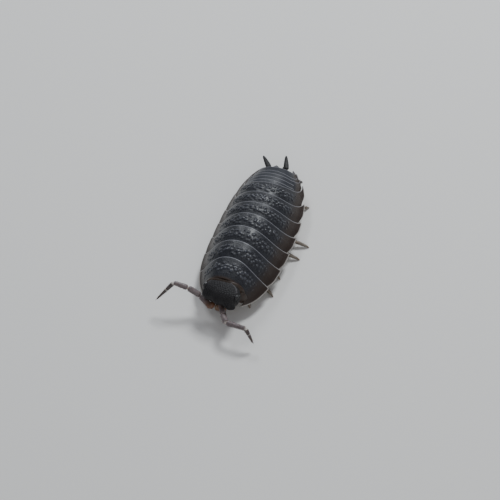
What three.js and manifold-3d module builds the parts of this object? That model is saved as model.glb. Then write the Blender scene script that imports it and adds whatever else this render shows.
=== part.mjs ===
// A rough woodlouse, life-size, standing on its fourteen legs.
// Millimetres, +Z up, head towards -Y, the animal's left towards +X.
// While it is shaped, y runs along the straight body from the head (0) to the tail; the body is bent last.
import * as THREE from "three";
import { mergeVertices } from "three/addons/utils/BufferGeometryUtils.js";
import Module from "manifold-3d";

const wasm = await Module();
wasm.setup();

// Driving sizes
const BODY_LENGTH = 15;
const HALF_WIDTH = 3.36;
const BACK_HEIGHT = 3.9;
const END_HEIGHT = 1.38;
const RIM_HEIGHT = 0.98;
const TAIL_RIM_RISE = 0.4;
const BELLY_HEIGHT = 1.88;
const BELLY_SAG = 0.12;
const GAP = 0.2;
const PLATE = 0.3;
const LAP = 0.45;
const STEP = 0.1;
const EDGE = 0.2;
const LIMB = 0.5;
const SHELF_REACH = 0.6;
const SHELF_LIFT = 0.14;
const NARROW_REACH = 0.6;
const EYE_GAP = 0.1;
const JOINT_GAP = 0.07;
const EYE_RADII = [0.16, 0.3, 0.22];
const FOOT = 0.11;

// Plan and profile of the whole back
const WIDEST_Y = 8.0;
const FRONT_REACH = 7.3;
const REAR_REACH = 7.4;
const FRONT_ROUNDNESS = 2.8;
const REAR_ROUNDNESS = 2.3;
const HIGHEST_Y = 7.0;
const FRONT_FALL = 8.0;
const REAR_FALL = 8.3;
const MIDDLE_Y = BODY_LENGTH / 2;
const HEAD_SWING = -0.12;
const TAIL_SWING = -0.4;
const RIM_RISE_Y = 10;
const ARCH_SHOULDER = [0.6, 1.0];
const ARCH_SKIRT = [0.76, 0.27];

// Hind margins of the seven pereonites: at the midline, at the corner, and how far the flank curves forward
const PEREON = [
  { mid: 3.57, corner: 3.3, dip: -0.22 },
  { mid: 5.18, corner: 5.25, dip: -0.18 },
  { mid: 6.68, corner: 7.0, dip: -0.16 },
  { mid: 8.06, corner: 8.65, dip: -0.12 },
  { mid: 9.33, corner: 10.2, dip: 0.0 },
  { mid: 10.6, corner: 12.1, dip: 0.0 },
  { mid: 11.85, corner: 13.75, dip: 0.15 },
];
const PEREON_FRONT = { mid: 1.78, corner: 0.95, dip: 0.0 };
// Hind margins of the five pleonites; the first two end inside the last pereonite's flanks
const PLEON = [
  { mid: 12.3, corner: 13.9, dip: 0 },
  { mid: 12.75, corner: 14.1, dip: 0 },
  { mid: 13.2, corner: 14.3, dip: 0 },
  { mid: 13.65, corner: 14.75, dip: -0.1 },
  { mid: 14.1, corner: 15.05, dip: -0.15 },
];
// Each leg pair, front to back: y of the root, and the left and right foot as [x, y]
const LEGS = [
  { root: 2.75, left: [1.75, 1.75], right: [2.3, 1.9] },
  { root: 4.35, left: [3.15, 3.3], right: [3.0, 3.7] },
  { root: 5.9, left: [3.1, 5.1], right: [3.5, 5.6] },
  { root: 7.35, left: [3.95, 7.4], right: [3.6, 7.2] },
  { root: 8.7, left: [4.25, 8.8], right: [3.7, 9.4] },
  { root: 9.95, left: [2.85, 11.0], right: [3.3, 11.2] },
  { root: 11.2, left: [2.9, 12.8], right: [2.7, 12.5] },
];

const SHELL = { color: 0x2b2d33, roughness: 0.42, metalness: 0.0 };
const HEAD_SHELL = { color: 0x1e1d21, roughness: 0.55, metalness: 0.0 };
const LIMB_SHELL = { color: 0xa3928f, roughness: 0.5, metalness: 0.0 };
const FLAGELLUM_SHELL = { color: 0x6a5652, roughness: 0.5, metalness: 0.0 };
const EYE_SHELL = { color: 0x070708, roughness: 0.2, metalness: 0.0 };
const GILL_SHELL = { color: 0xd9d3c4, roughness: 0.6, metalness: 0.0 };
const MOUTH_SHELL = { color: 0xb59a78, roughness: 0.55, metalness: 0.0 };

const clamp01 = (v) => Math.min(1, Math.max(0, v));
const mix = (a, b, t) => a + (b - a) * t;
const vec = (x, y, z) => new THREE.Vector3(x, y, z);

// Half the width of the body's outline at y.
function halfWidth(y) {
  const [reach, roundness] =
    y < WIDEST_Y
      ? [FRONT_REACH, FRONT_ROUNDNESS]
      : [REAR_REACH, REAR_ROUNDNESS];
  const along = Math.abs((y - WIDEST_Y) / reach) ** roundness;
  return HALF_WIDTH * clamp01(1 - along) ** (1 / roundness);
}

// Height of the back's midline at y.
function backHeight(y) {
  const along = (y - HIGHEST_Y) / (y < HIGHEST_Y ? FRONT_FALL : REAR_FALL);
  return (
    END_HEIGHT + (BACK_HEIGHT - END_HEIGHT) * Math.sqrt(clamp01(1 - along ** 2))
  );
}

// Height of the outer rim at y, which lifts a little towards the tail.
function rimHeight(y) {
  const along = Math.max(0, (y - RIM_RISE_Y) / (BODY_LENGTH - RIM_RISE_Y));
  return RIM_HEIGHT + TAIL_RIM_RISE * along ** 2;
}

// The arch across the back: a Bezier from the midline (s 0) over the shoulder to the flared rim (s 1).
function arch(s) {
  const q = 1 - s;
  const across =
    3 * q * q * s * ARCH_SHOULDER[0] + 3 * q * s * s * ARCH_SKIRT[0] + s ** 3;
  const up =
    q ** 3 + 3 * q * q * s * ARCH_SHOULDER[1] + 3 * q * s * s * ARCH_SKIRT[1];
  return [across, up];
}

// A point of the back at s across (-1 right rim, 1 left rim) and y along, pushed in by inset.
function backPoint(s, y, inset = 0, sideInset = inset) {
  const [across, up] = arch(Math.abs(s));
  const rim = rimHeight(y);
  const x = Math.sign(s) * across * Math.max(0.05, halfWidth(y) - sideInset);
  return vec(x, y, rim + (backHeight(y) - inset - rim) * up);
}

// A point of the underside straight below the back at s: flat belly inside, thin plate outside.
function bellyPoint(s, y, sideInset = 0, drop = 0) {
  const over = backPoint(s, y, 0, sideInset);
  const thick = EDGE + 0.5 * (1 - Math.abs(s));
  const belly = BELLY_HEIGHT - BELLY_SAG * (1 - s * s);
  over.z = Math.min(over.z - thick, belly) - drop;
  return over;
}

// y of a margin at s across.
function marginY(margin, s) {
  const a = Math.abs(s);
  return (
    margin.mid +
    (margin.corner - margin.mid) * a ** 3 +
    margin.dip * Math.sin(Math.PI * a) ** 2
  );
}

// Bends the straight body sideways along its length.
function bend(p) {
  const ahead = Math.max(0, MIDDLE_Y - p.y) / MIDDLE_Y;
  const behind = Math.max(0, p.y - MIDDLE_Y) / MIDDLE_Y;
  const centre = HEAD_SWING * ahead ** 2 + TAIL_SWING * behind ** 2;
  const slope = (2 * TAIL_SWING * behind - 2 * HEAD_SWING * ahead) / MIDDLE_Y;
  const stretch = Math.hypot(1, slope);
  return vec(centre + p.x / stretch, p.y - (p.x * slope) / stretch, p.z);
}

// A closed solid from a triangle list, turned the right way out.
function solidOf(points, triangles) {
  const make = (tris) =>
    new wasm.Manifold(
      new wasm.Mesh({
        numProp: 3,
        vertProperties: new Float32Array(
          points.flatMap((p) => [p.x, p.y, p.z]),
        ),
        triVerts: new Uint32Array(tris.flat()),
      }),
    );
  const made = make(triangles);
  return made.volume() > 0
    ? made
    : make(triangles.map(([a, b, c]) => [a, c, b]));
}

// Skins closed loops of equal count. "fan" ends suit round sections, "strip" ends an arch over a belly line.
function loft(loops, ends = "fan") {
  const count = loops[0].length;
  const points = loops.flat();
  const triangles = [];
  for (let i = 0; i + 1 < loops.length; i++)
    for (let k = 0; k < count; k++) {
      const [a, b] = [i * count + k, i * count + ((k + 1) % count)];
      triangles.push([a, b, b + count], [a, b + count, a + count]);
    }
  const close = (first, flip) => {
    const add = (a, b, c) => triangles.push(flip ? [a, b, c] : [a, c, b]);
    if (ends === "strip") {
      for (let k = 0; k + 1 < count / 2; k++) {
        const [a, b] = [first + k, first + k + 1];
        const [c, d] = [first + count - 1 - k, first + count - 2 - k];
        add(b, a, c);
        add(b, c, d);
      }
      return;
    }
    const centre = points
      .slice(first, first + count)
      .reduce((sum, p) => sum.add(p), vec(0, 0, 0))
      .divideScalar(count);
    points.push(centre);
    for (let k = 0; k < count; k++)
      add(first + ((k + 1) % count), first + k, points.length - 1);
  };
  close(0, true);
  close((loops.length - 1) * count, false);
  return solidOf(points, triangles);
}

// A three.js sphere, scaled, turned by the Euler angles and moved, as a solid.
function ellipsoid({ at, radii, turn = [0, 0, 0], segments = 10, rings = 6 }) {
  const sphere = new THREE.SphereGeometry(1, segments, rings);
  sphere.deleteAttribute("normal");
  sphere.deleteAttribute("uv");
  sphere.scale(...radii);
  sphere.applyMatrix4(
    new THREE.Matrix4().makeRotationFromEuler(new THREE.Euler(...turn)),
  );
  sphere.translate(...at);
  const merged = mergeVertices(sphere, 1e-4);
  const place = merged.getAttribute("position");
  const points = Array.from({ length: place.count }, (_, i) =>
    vec(place.getX(i), place.getY(i), place.getZ(i)),
  );
  const index = Array.from(merged.index.array);
  const triangles = [];
  for (let i = 0; i < index.length; i += 3) {
    const [a, b, c] = index.slice(i, i + 3);
    if (a !== b && b !== c && c !== a) triangles.push([a, b, c]);
  }
  return solidOf(points, triangles);
}

// A round ring of points about `at`, square to `axis`, flattened by `flat` on the upright.
function roundLoop(at, axis, radius, sides, flat = 1) {
  const ahead = axis.clone().normalize();
  const side = Math.abs(ahead.z) > 0.95 ? vec(1, 0, 0) : vec(0, 0, 1);
  const across = side.cross(ahead).normalize();
  const up = ahead.clone().cross(across);
  return Array.from({ length: sides }, (_, k) => {
    const turn = (2 * Math.PI * (k + 0.5)) / sides;
    return at
      .clone()
      .addScaledVector(across, radius * Math.cos(turn))
      .addScaledVector(up, radius * flat * Math.sin(turn));
  });
}

// One limb article from a to b: [share of the length, share of the way from r0 to r1, scale] per ring.
const CLUB = [
  [0, 0, 0.72],
  [0.12, 0, 0.96],
  [0.8, 1, 1],
  [1, 1, 0.8],
];
function article(a, b, r0, r1, options = {}) {
  const { sides = 8, flat = 1, shape = CLUB } = options;
  const axis = b.clone().sub(a);
  return loft(
    shape.map(([share, way, scale]) =>
      roundLoop(
        a.clone().lerp(b, share),
        axis,
        mix(r0, r1, way) * scale,
        sides,
        flat,
      ),
    ),
  );
}

// The largest closed body of a solid, which drops scraps that a cut leaves.
function largest(solid) {
  return solid
    .decompose()
    .reduce((best, one) => (one.volume() > best.volume() ? one : best));
}

const part = new THREE.Group();

// Adds one named node.
function addNode(name, solid, look) {
  const mesh = largest(solid).getMesh();
  const geometry = new THREE.BufferGeometry();
  geometry.setAttribute(
    "position",
    new THREE.BufferAttribute(new Float32Array(mesh.vertProperties), 3),
  );
  geometry.setIndex(
    new THREE.BufferAttribute(new Uint32Array(mesh.triVerts), 1),
  );
  geometry.computeVertexNormals();
  const node = new THREE.Mesh(geometry, new THREE.MeshStandardMaterial(look));
  node.name = name;
  part.add(node);
}

// Body rings

// A closed block of the body between two lines; each station says how far along and how far in it lies.
function bodyBlock({ from, to, stations, steps, reach = 1, drop = 0 }) {
  const across = Array.from(
    { length: steps + 1 },
    (_, k) => reach * (-1 + (2 * k) / steps),
  );
  const loops = stations.map(({ along, inset }) => {
    const y = (s) => mix(from(s), to(s), along);
    return [
      ...across.map((s) => backPoint(s, y(s), inset)),
      ...across.map((s) => bellyPoint(-s, y(-s), inset, drop)),
    ].map(bend);
  });
  return loft(loops, "strip");
}

// One ring: its visible block, a shelf that tucks under the ring in front, and a recess over the ring behind.
function bodyRing({
  front,
  hind,
  steps,
  reach = 1,
  first = false,
  shelf = true,
  recess = true,
}) {
  const frontY = (s) => front(s) + (first ? 0 : GAP);
  let ring = bodyBlock({
    from: frontY,
    to: hind,
    steps,
    reach,
    stations: [
      { along: 0, inset: STEP },
      { along: 0.4, inset: -0.02 },
      { along: 1, inset: 0 },
    ],
  });
  if (recess)
    ring = ring.subtract(
      bodyBlock({
        from: (s) => hind(s) - LAP,
        to: (s) => hind(s) + LAP,
        steps: 12,
        reach: SHELF_REACH + 0.05,
        drop: BACK_HEIGHT,
        stations: [
          { along: 0, inset: PLATE },
          { along: 1, inset: PLATE },
        ],
      }),
    );
  if (shelf)
    ring = ring.add(
      bodyBlock({
        from: (s) => front(s) - LAP + GAP,
        to: (s) => front(s) + 2 * GAP,
        steps: 12,
        reach: SHELF_REACH,
        drop: -SHELF_LIFT,
        stations: [
          { along: 0, inset: PLATE + GAP },
          { along: 1, inset: PLATE + GAP },
        ],
      }),
    );
  return ring;
}

const pereonHind = PEREON.map((margin) => (s) => marginY(margin, s));
const pleonHind = PLEON.map((margin) => (s) => marginY(margin, s));
const pereonFront = (s) => marginY(PEREON_FRONT, s);
const lastPereonHind = pereonHind[6];

// The third pleonite's flanks start right behind the last pereonite, past the ends of the two narrow pleonites.
const thirdPleonFront = (s) =>
  Math.abs(s) > NARROW_REACH + 0.02
    ? lastPereonHind(s)
    : pleonHind[1](s);

// Joins that keep a gap: the article from a to b, drawn in at both ends.
function gappedArticle(a, b, r0, r1, options = {}) {
  const axis = b.clone().sub(a).normalize();
  const start = a.clone().addScaledVector(axis, options.start ?? JOINT_GAP);
  const end = b.clone().addScaledVector(axis, -(options.end ?? JOINT_GAP));
  return article(start, end, r0, r1, options);
}

// Antennae: the joints from the head outwards, and the radius at each

const ANTENNAE = {
  left: [
    vec(0.22, 0.06, 1.56),
    vec(0.5, -0.42, 1.6),
    vec(1.06, -1.23, 1.7),
    vec(2.78, -1.45, 1.78),
    vec(3.45, -1.9, 0.66),
  ],
  right: [
    vec(-0.78, 0.1, 1.5),
    vec(-1.79, 0.76, 1.68),
    vec(-2.78, 0.82, 2.28),
    vec(-3.9, 0.72, 2.66),
    vec(-5.26, -0.27, 1.26),
  ],
};
const ANTENNA_NODES = ["base", "article_4", "article_5", "flagellum"];
const ANTENNA_RADII = [0.52, 0.5, 0.48, 0.4, 0.12].map((d) => (d / 0.5) * (LIMB / 2));

// The room that an antenna's first two articles need in the head and the front ring.
function antennaRoom(side) {
  const joints = ANTENNAE[side];
  const grown = (i) =>
    gappedArticle(
      joints[i],
      joints[i + 1],
      ANTENNA_RADII[i] + GAP,
      ANTENNA_RADII[i + 1] + GAP,
      { start: -GAP, end: -GAP },
    );
  return grown(0).add(grown(1));
}

// Head

const HEAD_AT = vec(0.0, 0.95, 0);
const HEAD_YAW = -0.21;
const HEAD_SECTIONS = [
  { y: 0.04, wide: 0.86, top: 2.28, low: 1.62 },
  { y: 0.14, wide: 1.16, top: 2.52, low: 1.42 },
  { y: 0.45, wide: 1.44, top: 2.84, low: 1.27 },
  { y: 0.95, wide: 1.58, top: 3.08, low: 1.24 },
  { y: 1.4, wide: 1.52, top: 3.16, low: 1.28 },
  { y: 1.72, wide: 1.36, top: 3.12, low: 1.4 },
  { y: 1.86, wide: 1.1, top: 2.92, low: 1.6 },
];
const HEAD_SIDES = 24;
const HEAD_SQUARENESS = 2.25;

// Turns a point of the straight head with the head's own yaw.
function headTurn(p) {
  return p
    .clone()
    .sub(HEAD_AT)
    .applyAxisAngle(vec(0, 0, 1), HEAD_YAW)
    .add(HEAD_AT);
}

// The head's shell, grown on every side by `grow`.
function headShell(grow = 0) {
  const power = 2 / HEAD_SQUARENESS;
  const bow = (v) => Math.sign(v) * Math.abs(v) ** power;
  const last = HEAD_SECTIONS.length - 1;
  return loft(
    HEAD_SECTIONS.map(({ y, wide, top, low }, i) => {
      const shift = i === 0 ? -grow : i === last ? grow : 0;
      return Array.from({ length: HEAD_SIDES }, (_, k) => {
        const turn = (2 * Math.PI * k) / HEAD_SIDES;
        const tall = (top - low) / 2 + grow;
        return headTurn(
          vec(
            (wide + grow) * bow(Math.cos(turn)),
            y + shift,
            (top + low) / 2 + tall * bow(Math.sin(turn)),
          ),
        );
      });
    }),
  );
}

// A flat rounded lobe of the head's front edge.
function headLobe(x, y, z, radii, turn) {
  const at = headTurn(vec(x, y, z));
  return ellipsoid({
    at: at.toArray(),
    radii,
    turn: [turn[0], turn[1], turn[2] + HEAD_YAW],
    segments: 12,
    rings: 8,
  });
}

const eyeAt = (side) => headTurn(vec(side * 1.36, 0.92, 2.56));
const eyeBall = (side, grow) =>
  ellipsoid({
    at: eyeAt(side).toArray(),
    radii: [EYE_RADII[0] + grow, EYE_RADII[1] + grow, EYE_RADII[2] + grow],
    turn: [0, side * 0.45, HEAD_YAW],
    segments: 12,
    rings: 8,
  });

let head = headShell()
  .add(headLobe(1.16, 0.16, 2.12, [0.42, 0.46, 0.16], [0.25, 0.12, -0.35]))
  .add(headLobe(-1.16, 0.16, 2.12, [0.42, 0.46, 0.16], [0.25, -0.12, 0.35]))
  .add(headLobe(0, 0.1, 2.3, [0.62, 0.3, 0.15], [0.35, 0, 0]));
for (const side of [-1, 1]) head = head.subtract(eyeBall(side, EYE_GAP));
for (const side of ["left", "right"]) head = head.subtract(antennaRoom(side));
addNode("head", head, HEAD_SHELL);
for (const side of [-1, 1]) {
  const name = side > 0 ? "left" : "right";
  addNode("eye_" + name, eyeBall(side, 0), EYE_SHELL);
}

const mouth = ellipsoid({
  at: headTurn(vec(0, 0.62, 1.02)).toArray(),
  radii: [0.62, 0.5, 0.5],
  turn: [-0.35, 0, HEAD_YAW],
  segments: 14,
  rings: 10,
})
  .subtract(headShell(GAP))
  .subtract(antennaRoom("left"))
  .subtract(antennaRoom("right"));
addNode("mouthparts", mouth, MOUTH_SHELL);

// Rings

[pereonFront, ...pereonHind].slice(0, 7).forEach((front, i) => {
  const first = i === 0;
  let ring = bodyRing({
    front,
    hind: pereonHind[i],
    steps: 22,
    first,
    shelf: !first,
  });
  if (first) ring = ring.subtract(headShell(GAP)).subtract(antennaRoom("right"));
  addNode("pereonite_" + (i + 1), ring, SHELL);
});
const pleonFronts = [
  lastPereonHind,
  pleonHind[0],
  thirdPleonFront,
  pleonHind[2],
  pleonHind[3],
];
pleonFronts.forEach((front, i) => {
  const narrow = i < 2;
  const ring = bodyRing({
    front,
    hind: pleonHind[i],
    steps: narrow ? 12 : 24,
    reach: narrow ? NARROW_REACH : 1,
    shelf: i === 0,
    recess: false,
  });
  addNode("pleonite_" + (i + 1), ring, SHELL);
});

// Telson

const TELSON = [
  { y: 14.31, wide: 0.62, thick: 0.5 },
  { y: 14.5, wide: 0.46, thick: 0.48 },
  { y: 14.75, wide: 0.27, thick: 0.42 },
  { y: 15.0, wide: 0.12, thick: 0.34 },
];
const telson = loft(
  TELSON.map(({ y, wide, thick }) =>
    Array.from({ length: 12 }, (_, k) => {
      const turn = (2 * Math.PI * k) / 12;
      const top = backHeight(y) - 0.04;
      return bend(
        vec(
          wide * Math.cos(turn),
          y,
          top - thick / 2 + (thick / 2) * Math.sin(turn),
        ),
      );
    }),
  ),
);
addNode("telson", telson, SHELL);

for (const [side, joints] of Object.entries(ANTENNAE))
  ANTENNA_NODES.forEach((piece, i) => {
    const solid = gappedArticle(
      joints[i],
      joints[i + 1],
      ANTENNA_RADII[i],
      ANTENNA_RADII[i + 1],
      i === 0 ? { start: 0 } : {},
    );
    const look = piece === "flagellum" ? FLAGELLUM_SHELL : LIMB_SHELL;
    addNode(`antenna_${side}_${piece}`, solid, look);
  });

// Legs

const HIP_X = 1.2;
const HIP_TOP = BELLY_HEIGHT - BELLY_SAG - GAP - 0.02;
const FOOT_REACH = 0.1;
// Stations of a leg: share of the way out to the foot, height, and thickness against LIMB
const LEG_SHAPE = [
  { share: 0.0, z: HIP_TOP, thick: 1.1 },
  { share: 0.03, z: 1.2, thick: 1.12 },
  { share: 0.17, z: 0.92, thick: 1.06 },
  { share: 0.4, z: 0.72, thick: 1.02 },
  { share: 0.47, z: 0.64, thick: 0.9 },
  { share: 0.66, z: 0.44, thick: 0.88 },
  { share: 0.72, z: 0.37, thick: 0.74 },
  { share: 0.92, z: 0.17, thick: 0.6 },
];

// One leg: down from the belly, then out to a small flat on the ground.
function leg(side, rootY, [footX, footY]) {
  const hip = bend(vec(side * HIP_X, rootY, 0));
  const foot = vec(side * footX, footY, 0);
  const outward = foot.clone().sub(hip).normalize();
  const across = vec(-outward.y, outward.x, 0);
  const down = vec(0, 0, -1);
  const joints = LEG_SHAPE.map(({ share, z }) => hip.clone().lerp(foot, share).setZ(z));
  const loop = (at, ahead, radius) => {
    const up = across.clone().cross(ahead).normalize();
    return Array.from({ length: 8 }, (_, k) => {
      const turn = (2 * Math.PI * (k + 0.5)) / 8;
      return at
        .clone()
        .addScaledVector(across, radius * Math.cos(turn))
        .addScaledVector(up, radius * Math.sin(turn));
    });
  };
  const loops = joints.map((at, i) => {
    const ahead = i ? (joints[i + 1] ?? foot).clone().sub(joints[i - 1]) : down;
    return loop(at, ahead, (LEG_SHAPE[i].thick * LIMB) / 2);
  });
  loops.push(loop(foot.clone().addScaledVector(outward, FOOT_REACH), down, FOOT));
  return loft(loops);
}
LEGS.forEach(({ root, left, right }, i) => {
  addNode(`leg_left_${i + 1}`, leg(1, root, left), LIMB_SHELL);
  addNode(`leg_right_${i + 1}`, leg(-1, root, right), LIMB_SHELL);
});

// Uropods and pleopods

const UROPOD_ROOT = vec(0.72, 14.24, 1.6);
const UROPOD_KNEE = vec(0.82, 14.86, 1.54);
const GILL_FLAPS = 5;
const GILL_START = 12.1;
const GILL_STEP = 0.42;
const GILL_X = 0.64;
const GILL_Z = 1.38;
const UROPOD_TIPS = { left: vec(-0.36, 16.45, 1.3), right: vec(-1.95, 15.9, 1.3) };
for (const side of [-1, 1]) {
  const name = side > 0 ? "left" : "right";
  const mirror = (p) => bend(vec(side * p.x, p.y, p.z));
  const root = mirror(UROPOD_ROOT);
  const knee = mirror(UROPOD_KNEE);
  const base = article(root, knee, 0.27, 0.27);
  addNode(`uropod_${name}_base`, base, SHELL);
  const tip = UROPOD_TIPS[name];
  const blade = gappedArticle(knee, tip, 0.25, 0.06, {
    start: GAP,
    end: 0,
    flat: 0.8,
    shape: [
      [0, 0, 0.8],
      [0.15, 0.05, 1],
      [0.6, 0.5, 1],
      [1, 1, 1],
    ],
  });
  addNode(`uropod_${name}_exopod`, blade, SHELL);

  const flaps = Array.from({ length: 2 * GILL_FLAPS }, (_, k) => {
    const swell = k % 2 === 0 ? 0.55 : 1;
    const y = GILL_START + ((k + (k % 2) * 0.7) / 2) * GILL_STEP;
    return Array.from({ length: 10 }, (_, j) => {
      const turn = (2 * Math.PI * (j + 0.5)) / 10;
      return bend(
        vec(
          side * (GILL_X + 0.48 * Math.cos(turn) * (0.8 + 0.2 * swell)),
          y,
          GILL_Z + 0.22 * swell * Math.sin(turn),
        ),
      );
    });
  });
  addNode("pleopods_" + name, loft(flaps), GILL_SHELL);
}

part.updateMatrixWorld(true);
const box = new THREE.Box3().setFromObject(part);
const middle = box.getCenter(vec(0, 0, 0));
part.position.set(-middle.x, -middle.y, 0);

export default part;
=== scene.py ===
"""A rough woodlouse as a life-size museum model: shell plates, head, feelers, legs and tail limbs."""
import logging
import math
from dataclasses import dataclass
from enum import Enum
from typing import Callable

import bmesh
import bpy
import numpy as np
from mathutils import Matrix, Vector


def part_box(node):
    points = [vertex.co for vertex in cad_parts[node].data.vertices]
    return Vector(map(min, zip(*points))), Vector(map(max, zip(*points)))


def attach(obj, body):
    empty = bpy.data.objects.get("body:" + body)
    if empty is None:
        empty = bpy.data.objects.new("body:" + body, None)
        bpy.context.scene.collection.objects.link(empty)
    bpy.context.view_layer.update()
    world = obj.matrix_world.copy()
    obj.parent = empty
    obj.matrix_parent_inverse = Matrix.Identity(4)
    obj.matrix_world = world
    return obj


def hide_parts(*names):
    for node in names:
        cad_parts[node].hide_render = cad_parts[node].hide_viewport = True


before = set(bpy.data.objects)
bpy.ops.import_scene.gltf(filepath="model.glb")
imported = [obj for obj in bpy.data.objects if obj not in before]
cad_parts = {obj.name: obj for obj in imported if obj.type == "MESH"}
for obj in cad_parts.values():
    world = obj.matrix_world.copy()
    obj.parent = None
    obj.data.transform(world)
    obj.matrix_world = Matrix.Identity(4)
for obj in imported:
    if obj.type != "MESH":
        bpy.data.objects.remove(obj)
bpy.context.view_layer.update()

log = logging.getLogger("woodlouse")
MM = 0.001

Array = np.ndarray
Triple = tuple[float, float, float]
Colour = tuple[float, float, float, float]
Line = Callable[[Array], Array]
Surface = Callable[[Array, Array], Array]
Masks = dict[str, Surface]


class Side(Enum):
    """A side of the animal, with the sign of its x."""

    LEFT = 1
    RIGHT = -1

    @property
    def word(self) -> str:
        """Gives the side's name as the solids have it."""
        return self.name.lower()


# Shape of the whole back


@dataclass(frozen=True)
class Margin:
    """The hind edge of a plate, in mm along the straight body.

    Attributes:
        mid: y at the midline.
        corner: y at the outer corner.
        dip: how far the flank of the edge curves towards the tail.
    """

    mid: float
    corner: float
    dip: float

    def at(self, s: Array) -> Array:
        """Gives y of the edge at places s across the back, -1 at the right rim and 1 at the left."""
        a = np.abs(s)
        return self.mid + (self.corner - self.mid) * a**3 + self.dip * np.sin(np.pi * a) ** 2


@dataclass(frozen=True)
class BodyPlan:
    """The plan, profile and arch of the back, in mm, with y running from the head to the tail."""

    length: float = 15.0
    half_width: float = 3.36
    back_height: float = 3.9
    end_height: float = 1.38
    rim_height: float = 0.98
    rim_rise: float = 0.4
    rim_rise_y: float = 10.0
    belly_height: float = 1.88
    widest_y: float = 8.0
    front_reach: float = 7.3
    rear_reach: float = 7.4
    front_roundness: float = 2.8
    rear_roundness: float = 2.3
    highest_y: float = 7.0
    front_fall: float = 8.0
    rear_fall: float = 8.3
    head_swing: float = -0.12
    tail_swing: float = -0.4
    shoulder: tuple[float, float] = (0.6, 1.0)
    skirt: tuple[float, float] = (0.76, 0.27)

    def width_at(self, y: Array) -> Array:
        """Gives half the body's width.

        Args:
            y: places along the body, in mm.
        Returns:
            Half the width in mm at each.
        """
        ahead = y < self.widest_y
        reach = np.where(ahead, self.front_reach, self.rear_reach)
        power = np.where(ahead, self.front_roundness, self.rear_roundness)
        along = np.abs((y - self.widest_y) / reach) ** power
        return self.half_width * np.clip(1 - along, 0, 1) ** (1 / power)

    def height_at(self, y: Array) -> Array:
        """Gives the height of the midline.

        Args:
            y: places along the body, in mm.
        Returns:
            The height in mm at each.
        """
        fall = np.where(y < self.highest_y, self.front_fall, self.rear_fall)
        bow = np.sqrt(np.clip(1 - ((y - self.highest_y) / fall) ** 2, 0, 1))
        return self.end_height + (self.back_height - self.end_height) * bow

    def rim_at(self, y: Array) -> Array:
        """Gives the height of the outer rim at y, in mm."""
        along = np.clip((y - self.rim_rise_y) / (self.length - self.rim_rise_y), 0, 2)
        return self.rim_height + self.rim_rise * along**2

    def surface(self, s: Array, y: Array, inset: Array | float = 0.0) -> Array:
        """Gives points of the back.

        Args:
            s: place across, -1 to 1.
            y: place along, in mm.
            inset: depth below the back, in mm.
        Returns:
            One row of x, y, z in mm for each pair, on the straight body.
        """
        a = np.abs(s)
        q = 1 - a
        across = 3 * q * q * a * self.shoulder[0] + 3 * q * a * a * self.skirt[0] + a**3
        up = q**3 + 3 * q * q * a * self.shoulder[1] + 3 * q * a * a * self.skirt[1]
        rim = self.rim_at(y)
        x = np.sign(s) * across * np.maximum(0.05, self.width_at(y) - inset)
        z = rim + (self.height_at(y) - inset - rim) * up
        return np.stack([x, y + 0 * x, z], -1)

    def bend(self, points: Array) -> Array:
        """Bends straight-body points sideways along the body's length.

        Args:
            points: rows of x, y, z in mm.
        Returns:
            The bent rows.
        """
        x, y, z = points[..., 0], points[..., 1], points[..., 2]
        middle = self.length / 2
        ahead = np.clip(middle - y, 0, None) / middle
        behind = np.clip(y - middle, 0, None) / middle
        centre = self.head_swing * ahead**2 + self.tail_swing * behind**2
        slope = (2 * self.tail_swing * behind - 2 * self.head_swing * ahead) / middle
        stretch = np.hypot(1, slope)
        return np.stack([centre + x / stretch, y - x * slope / stretch, z], -1)

    def spot(self, x: float, y: float, z: float) -> Array:
        """Bends a single point of the straight body, in mm."""
        return self.bend(np.array([x, y, z]))


BODY = BodyPlan()
PEREON_FRONT = Margin(1.70, 0.95, 0.0)
PEREON = (
    Margin(3.57, 3.3, -0.22),
    Margin(5.18, 5.25, -0.18),
    Margin(6.68, 7.0, -0.16),
    Margin(8.06, 8.65, -0.12),
    Margin(9.33, 10.2, 0.0),
    Margin(10.6, 12.1, 0.0),
    Margin(11.85, 13.75, 0.15),
)
PLEON = (
    Margin(12.3, 13.9, 0.0),
    Margin(12.75, 14.1, 0.0),
    Margin(13.2, 14.3, 0.0),
    Margin(13.65, 14.75, -0.1),
    Margin(14.1, 15.05, -0.15),
)


@dataclass(frozen=True)
class HeadPlace:
    """Where the head sits on the straight body and how far it is turned."""

    centre: tuple[float, float] = (0.0, 0.95)
    yaw: float = -0.21

    def turn(self, points: Array) -> Array:
        """Turns head points about the neck.

        Args:
            points: rows of x, y, z in mm, as if the head pointed straight ahead.
        Returns:
            The turned rows.
        """
        x = points[..., 0] - self.centre[0]
        y = points[..., 1] - self.centre[1]
        c, s = math.cos(self.yaw), math.sin(self.yaw)
        turned_x = x * c - y * s + self.centre[0]
        turned_y = x * s + y * c + self.centre[1]
        return np.stack([turned_x, turned_y, points[..., 2]], -1)


HEAD = HeadPlace()
EYE_AT = np.array([1.36, 0.92, 2.56])


def row_shift() -> Array:
    """Works out how far the frame's origin lies from the straight body's, in mm.

    Returns:
        The shift that is added to x, y and z.
    """
    low, high = (np.array(corner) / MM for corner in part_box("eye_left"))
    return (low + high) / 2 - HEAD.turn(EYE_AT)


SHIFT = row_shift()


def to_row(points: Array) -> Array:
    """Moves bent-body points in mm into the frame, in metres."""
    return (points + SHIFT) * MM


# Mesh helpers


def rng_for(name: str) -> np.random.Generator:
    """Gives the seeded random source of the piece with this name."""
    return np.random.default_rng(sum(ord(c) * (i + 3) for i, c in enumerate(name)))


def smooth_step(low: float, high: float, value: Array) -> Array:
    """Eases from 0 at low to 1 at high."""
    t = np.clip((value - low) / (high - low), 0, 1)
    return t * t * (3 - 2 * t)


def dense_ends(u: Array, power: float) -> Array:
    """Spreads even samples from -1 to 1 so that they crowd towards both ends."""
    return np.sign(u) * (1 - (1 - np.abs(u)) ** power)


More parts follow.
